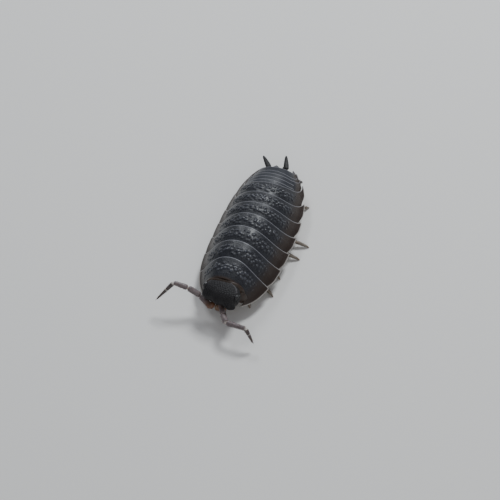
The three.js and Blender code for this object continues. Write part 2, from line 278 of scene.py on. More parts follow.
def share(v: Array, power: float) -> Array:
    """Turns even samples from -1 to 1 into shares from 0 to 1 that crowd towards both ends."""
    return (dense_ends(v, power) + 1) / 2


def unit(rows: Array) -> Array:
    """Brings each row to a length of 1."""
    return rows / np.linalg.norm(rows, axis=-1, keepdims=True)


def rounded(near: Array) -> Array:
    """Gives a quarter circle that rises from 0 at 0 to 1 at 1."""
    return np.sqrt(np.clip(1 - (1 - near) ** 2, 0, 1))


def none(u: Array, v: Array) -> Array:
    """Gives 0 at every place."""
    return 0 * u


def mesh_piece(name: str, bm: bmesh.types.BMesh, finish: bpy.types.Material) -> bpy.types.Object:
    """Turns a bmesh into a smooth-shaded object at the origin.

    Args:
        name: the piece's name.
        bm: the mesh, in metres, which is freed.
        finish: its material.
    Returns:
        The object, linked to the scene.
    """
    mesh = bpy.data.meshes.new(name)
    bm.to_mesh(mesh)
    bm.free()
    mesh.materials.append(finish)
    mesh.polygons.foreach_set("use_smooth", [True] * len(mesh.polygons))
    piece = bpy.data.objects.new(name, mesh)
    bpy.context.scene.collection.objects.link(piece)
    return piece


def place(piece: bpy.types.Object, slot: str, *nodes: str) -> bpy.types.Object:
    """Rides a piece on the body, hides the solids it stands for and logs its triangle count.

    Args:
        piece: the finished object.
        slot: the record's material slot; not used.
        nodes: the solids that it replaces.
    Returns:
        The same object.
    """
    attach(piece, "root")
    if nodes:
        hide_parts(*nodes)
    triangles = sum(len(p.vertices) - 2 for p in piece.data.polygons)
    log.info("%s: %d triangles", piece.name, triangles)
    return piece


def float_layer(bm: bmesh.types.BMesh, name: str) -> bmesh.types.BMLayerItem:
    """Gives a named vertex value layer, which is made if it is missing."""
    return bm.verts.layers.float.get(name) or bm.verts.layers.float.new(name)


def limb_mesh() -> bmesh.types.BMesh:
    """Starts a mesh with the vertex values that the limb finish reads.

    Returns:
        The empty mesh.
    """
    bm = bmesh.new()
    for mask in ("root", "joint", "bristle"):
        float_layer(bm, mask)
    return bm


def grid_into(
    bm: bmesh.types.BMesh,
    counts: tuple[int, int],
    mapping: Surface,
    masks: Masks,
    flip: bool = False,
) -> None:
    """Adds a grid and moves its vertices by a formula.

    Args:
        bm: the mesh to add to.
        counts: segments along u and v.
        mapping: takes u and v in -1..1 and gives rows of metres.
        masks: named vertex values worked out from u and v.
        flip: turns the faces round.
    """
    layers = {name: float_layer(bm, name) for name in masks}
    verts = bmesh.ops.create_grid(bm, x_segments=counts[0], y_segments=counts[1], size=1.0)["verts"]
    flat = np.array([v.co[:2] for v in verts])
    u, v = np.clip(flat[:, 0], -1, 1), np.clip(flat[:, 1], -1, 1)
    for vert, co in zip(verts, mapping(u, v)):
        vert.co = co
    for name, mask in masks.items():
        for vert, value in zip(verts, mask(u, v)):
            vert[layers[name]] = float(value)
    if flip:
        faces = list({f for vert in verts for f in vert.link_faces})
        bmesh.ops.reverse_faces(bm, faces=faces)


def merge(bm: bmesh.types.BMesh, distance: float = 2e-7) -> None:
    """Welds the seams and poles of mapped grids and turns every face outwards.

    Args:
        bm: the mesh.
        distance: how close two vertices are to be one, in metres.
    """
    bmesh.ops.remove_doubles(bm, verts=bm.verts, dist=distance)
    bmesh.ops.dissolve_degenerate(bm, edges=bm.edges, dist=distance / 4)
    bmesh.ops.recalc_face_normals(bm, faces=bm.faces)


def wall_into(
    bm: bmesh.types.BMesh,
    counts: tuple[int, int],
    face: Callable[[Array, Array, int], Array],
    masks: Masks,
) -> None:
    """Adds a thin closed wall: an outer and an inner face that meet all round.

    Args:
        bm: the mesh to add to.
        counts: segments along u and v.
        face: takes u, v and 1 for the outer or -1 for the inner face, and gives rows of metres.
        masks: named vertex values.
    """
    grid_into(bm, counts, lambda u, v: face(u, v, 1), masks)
    grid_into(bm, counts, lambda u, v: face(u, v, -1), masks, flip=True)
    merge(bm)


def ball_into(
    bm: bmesh.types.BMesh,
    centre: Array,
    radii: Triple,
    turn: Matrix,
    masks: dict[str, float] | None = None,
    detail: tuple[int, int] = (28, 18),
) -> None:
    """Adds a rounded lump: a sphere that is stretched, turned and moved.

    Args:
        bm: the mesh.
        centre: its middle, in mm on the bent body.
        radii: half its size along each axis, in mm.
        turn: its turn.
        masks: vertex values.
        detail: segments round and rings.
    """
    layers = {name: float_layer(bm, name) for name in masks or {}}
    made = bmesh.ops.create_uvsphere(bm, u_segments=detail[0], v_segments=detail[1], radius=1.0)
    for vert in made["verts"]:
        local = turn @ Vector([vert.co[i] * radii[i] for i in range(3)])
        vert.co = Vector(to_row(np.array(local) + centre))
        for name, value in (masks or {}).items():
            vert[layers[name]] = value


def normals_of(mapping: Surface, u: Array, v: Array, step: float = 0.004) -> Array:
    """Gives unit normals of a mapped surface by small differences.

    Args:
        mapping: takes u and v and gives rows of points.
        u: places along the first side.
        v: places along the second side.
        step: half the width of a difference.
    Returns:
        One unit normal for each row.
    """
    du = mapping(np.clip(u + step, -1, 1), v) - mapping(np.clip(u - step, -1, 1), v)
    dv = mapping(u, np.clip(v + step, -1, 1)) - mapping(u, np.clip(v - step, -1, 1))
    n = np.cross(du, dv)
    return n / np.maximum(np.linalg.norm(n, axis=-1, keepdims=True), 1e-12)


def tops_of(points: Array, spots: Array, sizes: Array, heights: Array, power: float = 1.0) -> Array:
    """Gives the height of round bumps on a surface, in mm.

    Args:
        points: rows of places on the surface, in mm.
        spots: the middle of each bump.
        sizes: the radius of each.
        heights: the height of each.
        power: 1 for a soft bump, more for a flatter top with a steeper side.
    Returns:
        The height at each row.
    """
    total = np.zeros(len(points))
    for spot, size, height in zip(spots, sizes, heights):
        gap = ((points - spot) ** 2).sum(-1) / size**2
        total = np.maximum(total, height * np.exp(-(gap**power)))
    return total


@dataclass(frozen=True)
class Tube:
    """A closed tube along a path, in mm.

    Attributes:
        path: rows of x, y, z.
        radii: share of the length and radius, in rising order of share.
        up: the upright of the section.
        flat: height of the section against its width.
    """

    path: Array
    radii: tuple[tuple[float, float], ...]
    up: Triple = (0.0, 0.0, 1.0)
    flat: float = 1.0

    def steps(self) -> Array:
        """Gives the length of each straight run of the path."""
        return np.linalg.norm(np.diff(self.path, axis=0), axis=1)

    def centre(self, t: Array) -> Array:
        """Gives points of the middle line at shares t of its length."""
        marks = np.concatenate([[0], np.cumsum(self.steps())]) / self.steps().sum()
        return np.stack([np.interp(t, marks, self.path[:, k]) for k in range(3)], -1)

    def radius(self, t: Array) -> Array:
        """Gives the radius, with both ends rounded shut.

        Args:
            t: shares of the length.
        Returns:
            The radius in mm at each.
        """
        marks, sizes = np.array(self.radii).T
        cap = 0.9 * sizes.max() / self.steps().sum()
        end = np.minimum(t, 1 - t)
        return np.interp(t, marks, sizes) * np.where(end < cap, rounded(end / cap), 1.0)

    def point(self, turn: Array, t: Array, grow: float = 0.0, step: float = 0.02) -> Array:
        """Gives surface points at an angle and a share of the length.

        Args:
            turn: angle round the tube, 0 at the side and a quarter turn at the top.
            t: share of the length.
            grow: extra radius.
            step: share of the length over which the tube's direction is taken.
        Returns:
            Rows of x, y, z in mm.
        """
        ahead = unit(self.centre(np.clip(t + step, 0, 1)) - self.centre(np.clip(t - step, 0, 1)))
        side = np.cross(ahead, np.array(self.up))
        side /= np.maximum(np.linalg.norm(side, axis=-1, keepdims=True), 1e-9)
        up = np.cross(side, ahead)
        r = (self.radius(t) + grow)[..., None]
        out = side * r * np.cos(turn)[..., None]
        return self.centre(t) + out + up * r * self.flat * np.sin(turn)[..., None]

    def add_to(self, bm: bmesh.types.BMesh, counts: tuple[int, int], masks: Masks) -> None:
        """Adds the tube to a mesh.

        Args:
            bm: the mesh.
            counts: sides and segments along.
            masks: named values of (turn, share of the length).
        """
        crowd = 1.6
        made = {
            name: (lambda u, v, f=f: f(np.pi * u, share(v, crowd))) for name, f in masks.items()
        }
        grid_into(bm, counts, lambda u, v: to_row(self.point(np.pi * u, share(v, crowd))), made)


def bristles_into(
    bm: bmesh.types.BMesh, roots: Array, ways: Array, lengths: Array, width: float
) -> None:
    """Adds tapered bristles, each a cone of three sides.

    Args:
        bm: the mesh.
        roots: where each stands, in metres.
        ways: the unit direction of each.
        lengths: how long each is, in mm.
        width: radius at the root, in mm.
    """
    layer = float_layer(bm, "bristle")
    for root, way, long in zip(roots, ways, lengths):
        turn = Vector(way).to_track_quat("Z", "Y").to_matrix().to_4x4()
        spot = Matrix.Translation(Vector(root) + Vector(way) * long * MM * 0.42)
        made = bmesh.ops.create_cone(
            bm,
            cap_ends=True,
            segments=3,
            radius1=width * MM,
            radius2=width * MM * 0.12,
            depth=long * MM,
            matrix=spot @ turn,
        )
        for vert in made["verts"]:
            vert[layer] = 1.0


@dataclass(frozen=True)
class Coat:
    """The bristles on a limb.

    Attributes:
        count: how many.
        shares: where along the limb they start and end.
        lean: how far they lean outwards, against 1 along the limb.
        lengths: the shortest and the longest, in mm.
        width: radius at the root, in mm.
        room: how high their tips stay above the floor, in mm.
    """

    count: int
    shares: tuple[float, float]
    lean: float
    lengths: tuple[float, float]
    width: float
    room: float = 0.03

    def grow_on(
        self, bm: bmesh.types.BMesh, tube: Tube, along: Array, rng: np.random.Generator
    ) -> None:
        """Sets the bristles on a tube.

        Args:
            bm: the mesh to add to.
            tube: what they stand on.
            along: the limb's unit direction.
            rng: the piece's random source.
        """
        turn = rng.uniform(-np.pi, np.pi, self.count)
        t = rng.uniform(*self.shares, self.count)
        roots = tube.point(turn, t)
        ways = unit(unit(tube.point(turn, t, 0.1) - roots) * self.lean + along)
        long = rng.uniform(*self.lengths, self.count)
        roots = to_row(roots)
        clear = roots[:, 2] / MM + ways[:, 2] * long > self.room
        bristles_into(bm, roots[clear], ways[clear], long[clear], self.width)


# Finishes


class Nodes:
    """Short ways to add and join nodes in a tree."""

    def __init__(self, tree: bpy.types.NodeTree) -> None:
        """Keeps the tree."""
        self.tree = tree

    def node(self, kind: str, settings: dict | None = None, **inputs: object) -> bpy.types.Node:
        """Adds a node.

        Args:
            kind: the node's type name.
            settings: its own properties.
            inputs: values or sockets for its inputs, with _ for a space in the name.
        Returns:
            The node.
        """
        made = self.tree.nodes.new(kind)
        for key, value in (settings or {}).items():
            setattr(made, key, value)
        self.feed_all(made, inputs)
        return made

    def feed(self, socket: bpy.types.NodeSocket, value: object) -> None:
        """Sets an input to a value, or joins a socket to it.

        Args:
            socket: the input.
            value: a number, a colour or an output socket.
        """
        if isinstance(value, bpy.types.NodeSocket):
            self.tree.links.new(value, socket)
        else:
            socket.default_value = value

    def feed_all(self, node: bpy.types.Node, inputs: dict[str, object]) -> None:
        """Feeds a node's inputs by name, with _ for a space."""
        for key, value in inputs.items():
            self.feed(node.inputs[key.replace("_", " ")], value)

    def sum(self, kind: str, a: object, b: object, clamp: bool = False) -> bpy.types.NodeSocket:
        """Does one sum on two numbers.

        Args:
            kind: the operation.
            a: the first number or socket.
            b: the second number or socket.
            clamp: keeps the result between 0 and 1.
        Returns:
            The result.
        """
        made = self.node("ShaderNodeMath", {"operation": kind, "use_clamp": clamp})
        self.feed(made.inputs[0], a)
        self.feed(made.inputs[1], b)
        return made.outputs[0]


class Graph(Nodes):
    """A material's node tree around one Principled shader."""

    def __init__(self, name: str) -> None:
        """Starts the material.

        Args:
            name: the material's name.
        """
        self.material = bpy.data.materials.new(name)
        self.material.use_nodes = True
        super().__init__(self.material.node_tree)
        self.shader = self.tree.nodes["Principled BSDF"]

    def dress(self, **inputs: object) -> bpy.types.Material:
        """Feeds the shader's inputs by name, with _ for a space, and gives the material."""
        self.feed_all(self.shader, inputs)
        return self.material

    def mask(self, name: str) -> bpy.types.NodeSocket:
        """Gives a vertex value of the mesh."""
        return self.node("ShaderNodeAttribute", {"attribute_name": name}).outputs["Fac"]

    def blend(self, amount: object, a: object, b: object) -> bpy.types.NodeSocket:
        """Mixes two colours.

        Args:
            amount: 0 for the first to 1 for the second.
            a: the first colour or socket.
            b: the second colour or socket.
        Returns:
            The mixed colour.
        """
        made = self.node("ShaderNodeMix", {"data_type": "RGBA"})
        for index, value in ((0, amount), (6, a), (7, b)):
            self.feed(made.inputs[index], value)
        return made.outputs[2]

    def grain(self, size: float, contrast: float) -> bpy.types.NodeSocket:
        """Places the shared grain group.

        Args:
            size: width of a grain in mm.
            contrast: 0 for none to 1 for full.
        Returns:
            Its value, about 0.5 on average.
        """
        own = {"node_tree": grain_group()}
        made = self.node("ShaderNodeGroup", own, Grains_per_mm=1 / size, Contrast=contrast)
        return made.outputs["Value"]

    def bump(self, height: object, depth: float) -> bpy.types.NodeSocket:
        """Turns a height into a normal.

        Args:
            height: the height socket.
            depth: how deep a height of 1 is, in mm.
        Returns:
            The normal socket.
        """
        made = self.node("ShaderNodeBump", Strength=1.0, Distance=depth * MM, Height=height)
        return made.outputs["Normal"]


def grain_group() -> bpy.types.NodeTree:
    """Builds once the grain that the shell and limb finishes share.

    Returns:
        A group with the inputs Grains per mm and Contrast and the output Value.
    """
    name = "shell_grain"
    if name in bpy.data.node_groups:
        return bpy.data.node_groups[name]
    group = bpy.data.node_groups.new(name, "ShaderNodeTree")
    for label, way in (("Grains per mm", "INPUT"), ("Contrast", "INPUT"), ("Value", "OUTPUT")):
        group.interface.new_socket(label, in_out=way, socket_type="NodeSocketFloat")
    g = Nodes(group)
    entry = g.node("NodeGroupInput").outputs
    leave = g.node("NodeGroupOutput")
    at = g.node("ShaderNodeTexCoord").outputs["Object"]
    in_mm = g.node("ShaderNodeVectorMath", {"operation": "SCALE"}, Vector=at, Scale=1 / MM).outputs[0]
    scale = entry["Grains per mm"]
    noise = g.node("ShaderNodeTexNoise", Vector=in_mm, Scale=scale, Detail=4.0, Roughness=0.6)
    cells = g.node("ShaderNodeTexVoronoi", Vector=in_mm, Scale=scale)
    pits = g.sum("MULTIPLY", cells.outputs["Distance"], -0.5)
    both = g.sum("ADD", pits, noise.outputs["Fac"])
    spread = g.sum("MULTIPLY", both, entry["Contrast"])
    g.feed(leave.inputs["Value"], g.sum("ADD", spread, 0.5))
    return group


@dataclass(frozen=True)
class ShellFinish:
    """Glossy horn plate: dark back, brown clear flanks, pale rims, and a painted highlight on the bump
    tips and on small specks.
    """

    name: str
    back: Colour = (0.004, 0.0044, 0.0062, 1)
    mottle: Colour = (0.0075, 0.008, 0.0115, 1)
    flank: Colour = (0.022, 0.012, 0.008, 1)
    rim: Colour = (0.40, 0.375, 0.35, 1)
    # Painted highlight colour, laid on the tips of the bumps and on small random specks.
    bump_tip: Colour = (0.062, 0.065, 0.08, 1)
    hind_line: Colour = (0.19, 0.19, 0.21, 1)
    collar: Colour = (0.030, 0.016, 0.009, 1)
    roughness: float = 0.37
    polish: float = 0.18
    gloss: float = 0.4
    coat: float = 0.1
    pitting: float = 0.011

    def build(self) -> bpy.types.Material:
        """Makes the material.

        Returns:
            The material.
        """
        g = Graph(self.name)
        patches = g.sum("SUBTRACT", g.grain(0.9, 2.2), 0.1, True)
        base = g.blend(patches, self.back, self.mottle)
        # Painted highlight: small random specks mixed a quarter of the way to the bump-tip highlight
        # colour.
        glint_speck = g.sum("GREATER_THAN", g.grain(0.085, 1.6), 0.8)
        base = g.blend(g.sum("MULTIPLY", glint_speck, 0.25), base, self.bump_tip)
        # Painted highlight on the bump tips.
        base = g.blend(g.mask("lump"), base, self.bump_tip)
        streak = g.sum("MULTIPLY", g.mask("side"), g.sum("ADD", g.grain(0.3, 0.9), 0.35), True)
        base = g.blend(streak, base, self.flank)
        for mask, colour in (("collar", self.collar), ("hind", self.hind_line), ("rim", self.rim)):
            base = g.blend(g.mask(mask), base, colour)
        rough = g.sum("ADD", g.sum("MULTIPLY", g.grain(0.06, 0.7), 0.22), self.roughness - 0.1)
        polish = g.sum("MULTIPLY", g.mask("lump"), self.polish)
        return g.dress(
            Base_Color=base,
            Roughness=g.sum("SUBTRACT", rough, polish, True),
            Normal=g.bump(g.grain(0.05, 1.0), self.pitting),
            Specular_IOR_Level=self.gloss,
            Coat_Weight=self.coat,
            Coat_Roughness=0.18,
        )


@dataclass(frozen=True)
class LimbFinish:
    """Thin horn over flesh: clear, pale at the joints and tinted at the root."""

    name: str
    flesh: Colour
    shade: Colour
    joint: Colour = (0.5, 0.46, 0.42, 1)
    root: Colour = (0.15, 0.066, 0.028, 1)
    bristle: Colour = (0.12, 0.095, 0.08, 1)
    roughness: float = 0.38
    glow: float = 0.25
    pitting: float = 0.004

    def build(self) -> bpy.types.Material:
        """Makes the material.

        Returns:
            The material.
        """
        g = Graph(self.name)
        patches = g.grain(0.22, 1.1)
        base = g.blend(patches, self.flesh, self.shade)
        for mask, colour in (("root", self.root), ("joint", self.joint), ("bristle", self.bristle)):
            base = g.blend(g.mask(mask), base, colour)
        return g.dress(
            Base_Color=base,
            Roughness=g.sum("ADD", g.sum("MULTIPLY", patches, 0.2), self.roughness - 0.1),
            Normal=g.bump(g.grain(0.045, 0.9), self.pitting),
            Subsurface_Weight=self.glow,
            Subsurface_Radius=(0.3, 0.15, 0.1),
            Subsurface_Scale=0.4 * MM,
        )


@dataclass(frozen=True)
class EyeFinish:
    """Black glass-like lenses."""

    name: str = "eye_black"
    dark: Colour = (0.004, 0.004, 0.005, 1)
    light: Colour = (0.012, 0.011, 0.012, 1)

    def build(self) -> bpy.types.Material:
        """Makes the material.

        Returns:
            The material.
        """
        g = Graph(self.name)
        base = g.blend(g.grain(0.05, 1.0), self.dark, self.light)
        return g.dress(Base_Color=base, Roughness=0.32, Coat_Weight=0.1)


class Slot(Enum):
    """The record's material slots."""

    SHELL = "shell"
    TAIL = "tail_shell"
    HEAD = "head_shell"
    EYE = "eye"
    MOUTH = "mouth"
    ANTENNA = "antenna"
    FLAGELLUM = "flagellum"
    LEG = "leg"
    UROPOD = "uropod"
    GILL = "gill"


FINISHES: dict[Slot, ShellFinish | LimbFinish | EyeFinish] = {
    Slot.SHELL: ShellFinish("slate_shell"),
    # Tail plates: back and mottle lighter and bluer than the trunk's, a painted reflection of the sky.
    Slot.TAIL: ShellFinish(
        "tail_shell",
        back=(0.007, 0.008, 0.0125, 1),
        mottle=(0.017, 0.019, 0.027, 1),
        # Painted highlight on the tips of the tail's bumps.
        bump_tip=(0.04, 0.042, 0.053, 1),
        rim=(0.20, 0.19, 0.18, 1),
        roughness=0.4,
    ),
    Slot.HEAD: ShellFinish(
        "head_shell",
        back=(0.003, 0.0028, 0.0034, 1),
        mottle=(0.0075, 0.0068, 0.008, 1),
        # Painted highlight on the tips of the head's granules.
        bump_tip=(0.02, 0.0185, 0.02, 1),
        hind_line=(0.085, 0.08, 0.086, 1),
        flank=(0.03, 0.016, 0.008, 1),
        roughness=0.56,
        gloss=0.3,
        coat=0.0,
    ),
    Slot.EYE: EyeFinish(),
    Slot.MOUTH: LimbFinish("mouth_horn", (0.26, 0.15, 0.065, 1), (0.13, 0.068, 0.028, 1)),
    Slot.ANTENNA: LimbFinish("feeler_horn", (0.25, 0.205, 0.208, 1), (0.115, 0.09, 0.093, 1)),
    Slot.FLAGELLUM: LimbFinish(
        "flagellum_horn", (0.15, 0.12, 0.115, 1), (0.06, 0.045, 0.043, 1), roughness=0.45
    ),
    Slot.LEG: LimbFinish(
        "leg_horn", (0.27, 0.23, 0.19, 1), (0.14, 0.115, 0.09, 1), joint=(0.3, 0.26, 0.22, 1)
    ),
    Slot.UROPOD: LimbFinish(
        "tail_limb_horn",
        (0.012, 0.011, 0.012, 1),
        (0.005, 0.0045, 0.005, 1),
        bristle=(0.012, 0.011, 0.011, 1),
        roughness=0.55,
        glow=0.0,
    ),
    Slot.GILL: LimbFinish("gill_horn", (0.34, 0.31, 0.26, 1), (0.20, 0.18, 0.15, 1), glow=0.4),
}
NECK_FINISH = LimbFinish("neck_skin", (0.048, 0.027, 0.014, 1), (0.024, 0.014, 0.009, 1))
BELLY_FINISH = LimbFinish("belly_skin", (0.13, 0.115, 0.095, 1), (0.06, 0.053, 0.044, 1))


class Wardrobe:
    """Builds each finish once and dresses the pieces in it."""

    def __init__(self) -> None:
        """Starts with no material made."""
        self.made: dict[Slot, bpy.types.Material] = {}

    def dress(
        self, name: str, bm: bmesh.types.BMesh, slot: Slot, *nodes: str
    ) -> bpy.types.Object:
        """Makes a finished, placed piece of a mesh.

        Args:
            name: the piece's name.
            bm: the mesh, in metres, which is freed.
            slot: its finish.
            nodes: the solids that it replaces.
        Returns:
            The object.
        """
        if slot not in self.made:
            self.made[slot] = FINISHES[slot].build()
        return place(mesh_piece(name, bm, self.made[slot]), slot.value, *nodes)


# Shell plates


@dataclass
class Plate:
    """One overlapping plate of the back with its flared side plates.

    Attributes:
        node: the solid that it replaces.
        slot: its finish.
        front: the line it comes out from under.
        hind: its own hind edge.
        reach: how far it goes across, 1 to the rim.
        lap: how far it runs on under the plate in front, in mm.
        tuck: how deep its front lies, in mm.
        thick: thickness in mm.
        bumps: rows of large bumps.
        specks: count of small bumps between them.
        bump_height: height of a large bump in mm.
        bump_band: where the rows lie, as shares of the way from the front line to the hind edge.
        counts: segments across and along.
        collar: whether it is the first plate, with a brown collar and a broad pale rim on the right.
        side_span: mm across for one unit of s, used for distances to the rim.
        flare: how far the side plates' rims turn up, in mm.
        collar_flare: the same for the first plate's right side.
        rim_band: where the pale rim starts and stops fading, in mm from the side.
        hind_band: the same for the pale line, in mm from the hind edge.
        collar_rim: how much broader the first plate's right rim is.
    """

    node: str
    slot: Slot
    front: Line
    hind: Line
    reach: float = 1.0
    lap: float = 0.4
    tuck: float = 0.17
    thick: float = 0.13
    bumps: int = 3
    specks: int = 150
    bump_height: float = 0.072
    bump_band: tuple[float, float] = (0.2, 0.72)
    counts: tuple[int, int] = (250, 66)
    collar: bool = False
    side_span: float = 3.6
    flare: float = 0.08
    collar_flare: float = 0.16
    rim_band: tuple[float, float] = (0.035, 0.11)
    hind_band: tuple[float, float] = (0.03, 0.09)
    collar_rim: float = 2.8

    def to_rim(self) -> bool:
        """Says whether the plate goes out to the rim."""
        return self.reach > 0.9

    def where(self, u: Array, v: Array) -> tuple[Array, Array, Array]:
        """Turns grid places into places on the plate.

        Args:
            u: grid places across, -1 to 1.
            v: grid places along, -1 to 1.
        Returns:
            s across, y along in mm, and the distance behind the front line in mm.
        """
        s = self.reach * dense_ends(u, 1.5)
        start = self.front(s) - self.lap
        y = start + (self.hind(s) - start) * share(v, 1.35)
        return s, y, y - self.front(s)

    def sheet(self, u: Array, v: Array) -> Array:
        """Gives the smooth outer face.

        Args:
            u: grid places across.
            v: grid places along.
        Returns:
            Rows of mm on the straight body.
        """
        s, y, past = self.where(u, v)
        flank = np.abs(s) / self.reach
        snug = 1 - 0.75 * smooth_step(0.7, 0.95, flank) * (s < 0)
        depth = self.tuck * snug * (1 - smooth_step(-0.15, 0.85, past))
        points = BODY.surface(s, y, depth)
        corner = smooth_step(0.75, 1.0, flank) * (1 - smooth_step(-0.1, 0.55, past))
        points[..., 0] *= 1 - 0.02 * corner * (s > 0)
        flare = np.where((s < 0) & self.collar, self.collar_flare, self.flare) * self.to_rim()
        points[..., 2] += flare * smooth_step(0.8, 1.0, flank)
        return points

    def lumps(self) -> tuple[Array, Array, Array]:
        """Sets out the bumps.

        Returns:
            Their places as rows of mm, their radii and their heights.
        """
        rng = rng_for(self.node)
        first, last = self.bump_band
        spots = []
        for row in range(self.bumps):
            depth = first + (last - first) * (row + 0.5) / self.bumps
            count = 22 - 2 * (row % 2)
            for k in range(count):
                s = 0.70 * (-1 + (2 * k + 1) / count) + rng.normal(0, 0.012)
                size = rng.uniform(0.075, 0.115) * (1.12 - 0.5 * abs(s))
                spots.append((s, depth + rng.normal(0, 0.05), size, self.bump_height))
        for _ in range(self.specks):
            s = rng.uniform(-0.93, 0.93)
            size = rng.uniform(0.03, 0.055)
            spots.append((s, rng.uniform(0.05, 0.85), size, self.bump_height * 0.3))
        table = np.array(spots)
        s = table[:, 0] * self.reach
        y = self.front(s) + (self.hind(s) - self.front(s)) * table[:, 1]
        fade = 1 - 0.75 * smooth_step(0.55, 0.8, np.abs(table[:, 0]))
        return BODY.surface(s, y), table[:, 2], table[:, 3] * fade

    def swell(self, points: Array) -> Array:
        """Gives the height of the bumps at rows of points, in mm."""
        return tops_of(points, *self.lumps(), power=1.4)

    def edges(self, u: Array, v: Array) -> tuple[Array, Array]:
        """Gives the distances to the edges.

        Args:
            u: grid places across.
            v: grid places along.
        Returns:
            Those to the side rim and to the nearer of the front and hind edges, in mm.
        """
        s, y, _ = self.where(u, v)
        start = self.front(s) - self.lap
        return (self.reach - np.abs(s)) * self.side_span, np.minimum(self.hind(s) - y, y - start)

    def wall(self, u: Array, v: Array) -> Array:
        """Gives the thickness, rounded off to nothing at every edge.

        Args:
            u: grid places across.
            v: grid places along.
        Returns:
            The thickness in mm.
        """
        side, end = self.edges(u, v)
        near = np.clip(np.minimum(side, end) / (0.55 * self.thick), 0, 1)
        bead = 1 + 0.5 * np.exp(-((side - 0.06) ** 2) / 0.006)
        return self.thick * bead * rounded(near)

    def face(self, u: Array, v: Array, side: int) -> Array:
        """Gives one face of the plate.

        Args:
            u: grid places across.
            v: grid places along.
            side: 1 for the outer face and -1 for the inner one.
        Returns:
            Rows of metres.
        """
        middle = self.sheet(u, v)
        normal = normals_of(self.sheet, u, v)
        normal[normal[:, 2] < 0] *= -1
        wall = self.wall(u, v)[:, None]
        if side > 0:
            off_edge = np.minimum(*self.edges(u, v)) > 0.03
            points = middle + normal * (self.swell(middle) * off_edge)[:, None]
        else:
            points = middle - normal * wall
        drop = normal * self.thick * 0.25 * (1 - wall / np.maximum(wall.max(), 1e-9))
        return to_row(BODY.bend(points - drop))

    def side_mask(self, u: Array, v: Array) -> Array:
        """Marks the brown side plates."""
        return smooth_step(0.55, 0.8, np.abs(self.where(u, v)[0]))

    def rim_mask(self, u: Array, v: Array) -> Array:
        """Marks the pale outer rim and hind corner, dimmer towards the tail.

        Args:
            u: grid places across.
            v: grid places along.
        Returns:
            0 to 1 for each.
        """
        s, y, _ = self.where(u, v)
        corner = smooth_step(0.72, 0.95, np.abs(s)) * (1 - smooth_step(0.02, 0.07, self.hind(s) - y))
        gap = self.edges(u, v)[0] * BODY.width_at(np.minimum(y, 14.6)) / BODY.half_width
        wide = np.where((s < 0) & self.collar, self.collar_rim, 1.0)
        low, high = self.rim_band
        pale = np.maximum(1 - smooth_step(low * wide, high * wide, gap), corner)
        return pale * (1 - 0.6 * smooth_step(13.0, 13.5, y)) * self.to_rim()

    def hind_mask(self, u: Array, v: Array) -> Array:
        """Marks the pale line along the hind edge."""
        s, y, _ = self.where(u, v)
        return 0.9 * (1 - smooth_step(*self.hind_band, self.hind(s) - y))

    def lump_mask(self, u: Array, v: Array) -> Array:
        """Marks the tips of the bumps, which get a painted highlight colour and a smoother finish."""
        return smooth_step(0.35, 0.95, self.swell(self.sheet(u, v)) / self.bump_height)

    def collar_mask(self, u: Array, v: Array) -> Array:
        """Marks the brown collar of the first plate."""
        return (1 - smooth_step(0.02, 0.28, self.where(u, v)[2])) * self.collar

    def build(self, wardrobe: Wardrobe) -> bpy.types.Object:
        """Makes the plate.

        Args:
            wardrobe: the finishes.
        Returns:
            The placed object.
        """
        masks = {
            "side": self.side_mask,
            "rim": self.rim_mask,
            "hind": self.hind_mask,
            "lump": self.lump_mask,
            "collar": self.collar_mask,
        }
        bm = bmesh.new()
        wall_into(bm, self.counts, self.face, masks)
        return wardrobe.dress(self.node + "_plate", bm, self.slot, self.node)


@dataclass
class Telson:
    """The pointed tail plate, with the rounded root that carries it."""

    start_y: float = 13.85
    tip_y: float = 14.8
    base_half: float = 1.12
    thick: float = 0.14
    crowd: float = 1.4
    root: Triple = (0.0, 14.0, 1.72)
    root_radii: Triple = (0.95, 0.6, 0.5)
    counts: tuple[int, int] = (60, 60)

    def sheet(self, u: Array, v: Array) -> Array:
        """Gives the smooth outer face.

        Args:
            u: grid places across.
            v: grid places along.
        Returns:
            Rows of mm on the straight body.
        """
        across, t = dense_ends(u, self.crowd), share(v, self.crowd)
        y = self.start_y + (self.tip_y - self.start_y) * t
        left = np.clip(1 - t, 0, 1)
        half = self.base_half * (0.5 * left**2.2 + 0.5 * left**0.8) + 0.012
        x = across * half
        top = BODY.height_at(np.minimum(y, 14.98)) - 0.1 - 0.06 * (1 - smooth_step(0.0, 0.4, t))
        groove = 0.05 * np.exp(-((across / 0.35) ** 2)) * smooth_step(0.3, 0.8, t)
        fall = 0.34 * (x / 0.8) ** 2 + 0.05 * across**2
        return np.stack([x, y, top - fall - groove], -1)

    def face(self, u: Array, v: Array, side: int) -> Array:
        """Gives one face of the plate.

        Args:
            u: grid places across.
            v: grid places along.
            side: 1 for the outer face and -1 for the inner one.
        Returns:
            Rows of metres.
        """
        middle = self.sheet(u, v)
        t = share(v, self.crowd)
        edge = (1 - np.abs(dense_ends(u, self.crowd))) * 0.4
        gap = np.minimum(edge, np.minimum(t, 1 - t) * 1.1)
        if side < 0:
            middle[..., 2] -= self.thick * rounded(np.clip(gap / 0.07, 0, 1))
        return to_row(BODY.bend(middle))

    def edge_mask(self, u: Array, v: Array) -> Array:
        """Marks the pale outer edge."""
        gap = np.minimum(1 - np.abs(dense_ends(u, self.crowd)), 1 - share(v, self.crowd))
        return 0.5 * (1 - smooth_step(0.02, 0.12, gap))

    def build(self, wardrobe: Wardrobe) -> bpy.types.Object:
        """Makes the tail plate.

        Args:
            wardrobe: the finishes.
        Returns:
            The placed object.
        """
        masks = {"hind": self.edge_mask, "side": none, "rim": none, "lump": none, "collar": none}
        bm = bmesh.new()
        wall_into(bm, self.counts, self.face, masks)
        ball_into(bm, BODY.spot(*self.root), self.root_radii, Matrix.Identity(3), {"side": 0.3})
        return wardrobe.dress("telson_plate", bm, Slot.TAIL, "telson")


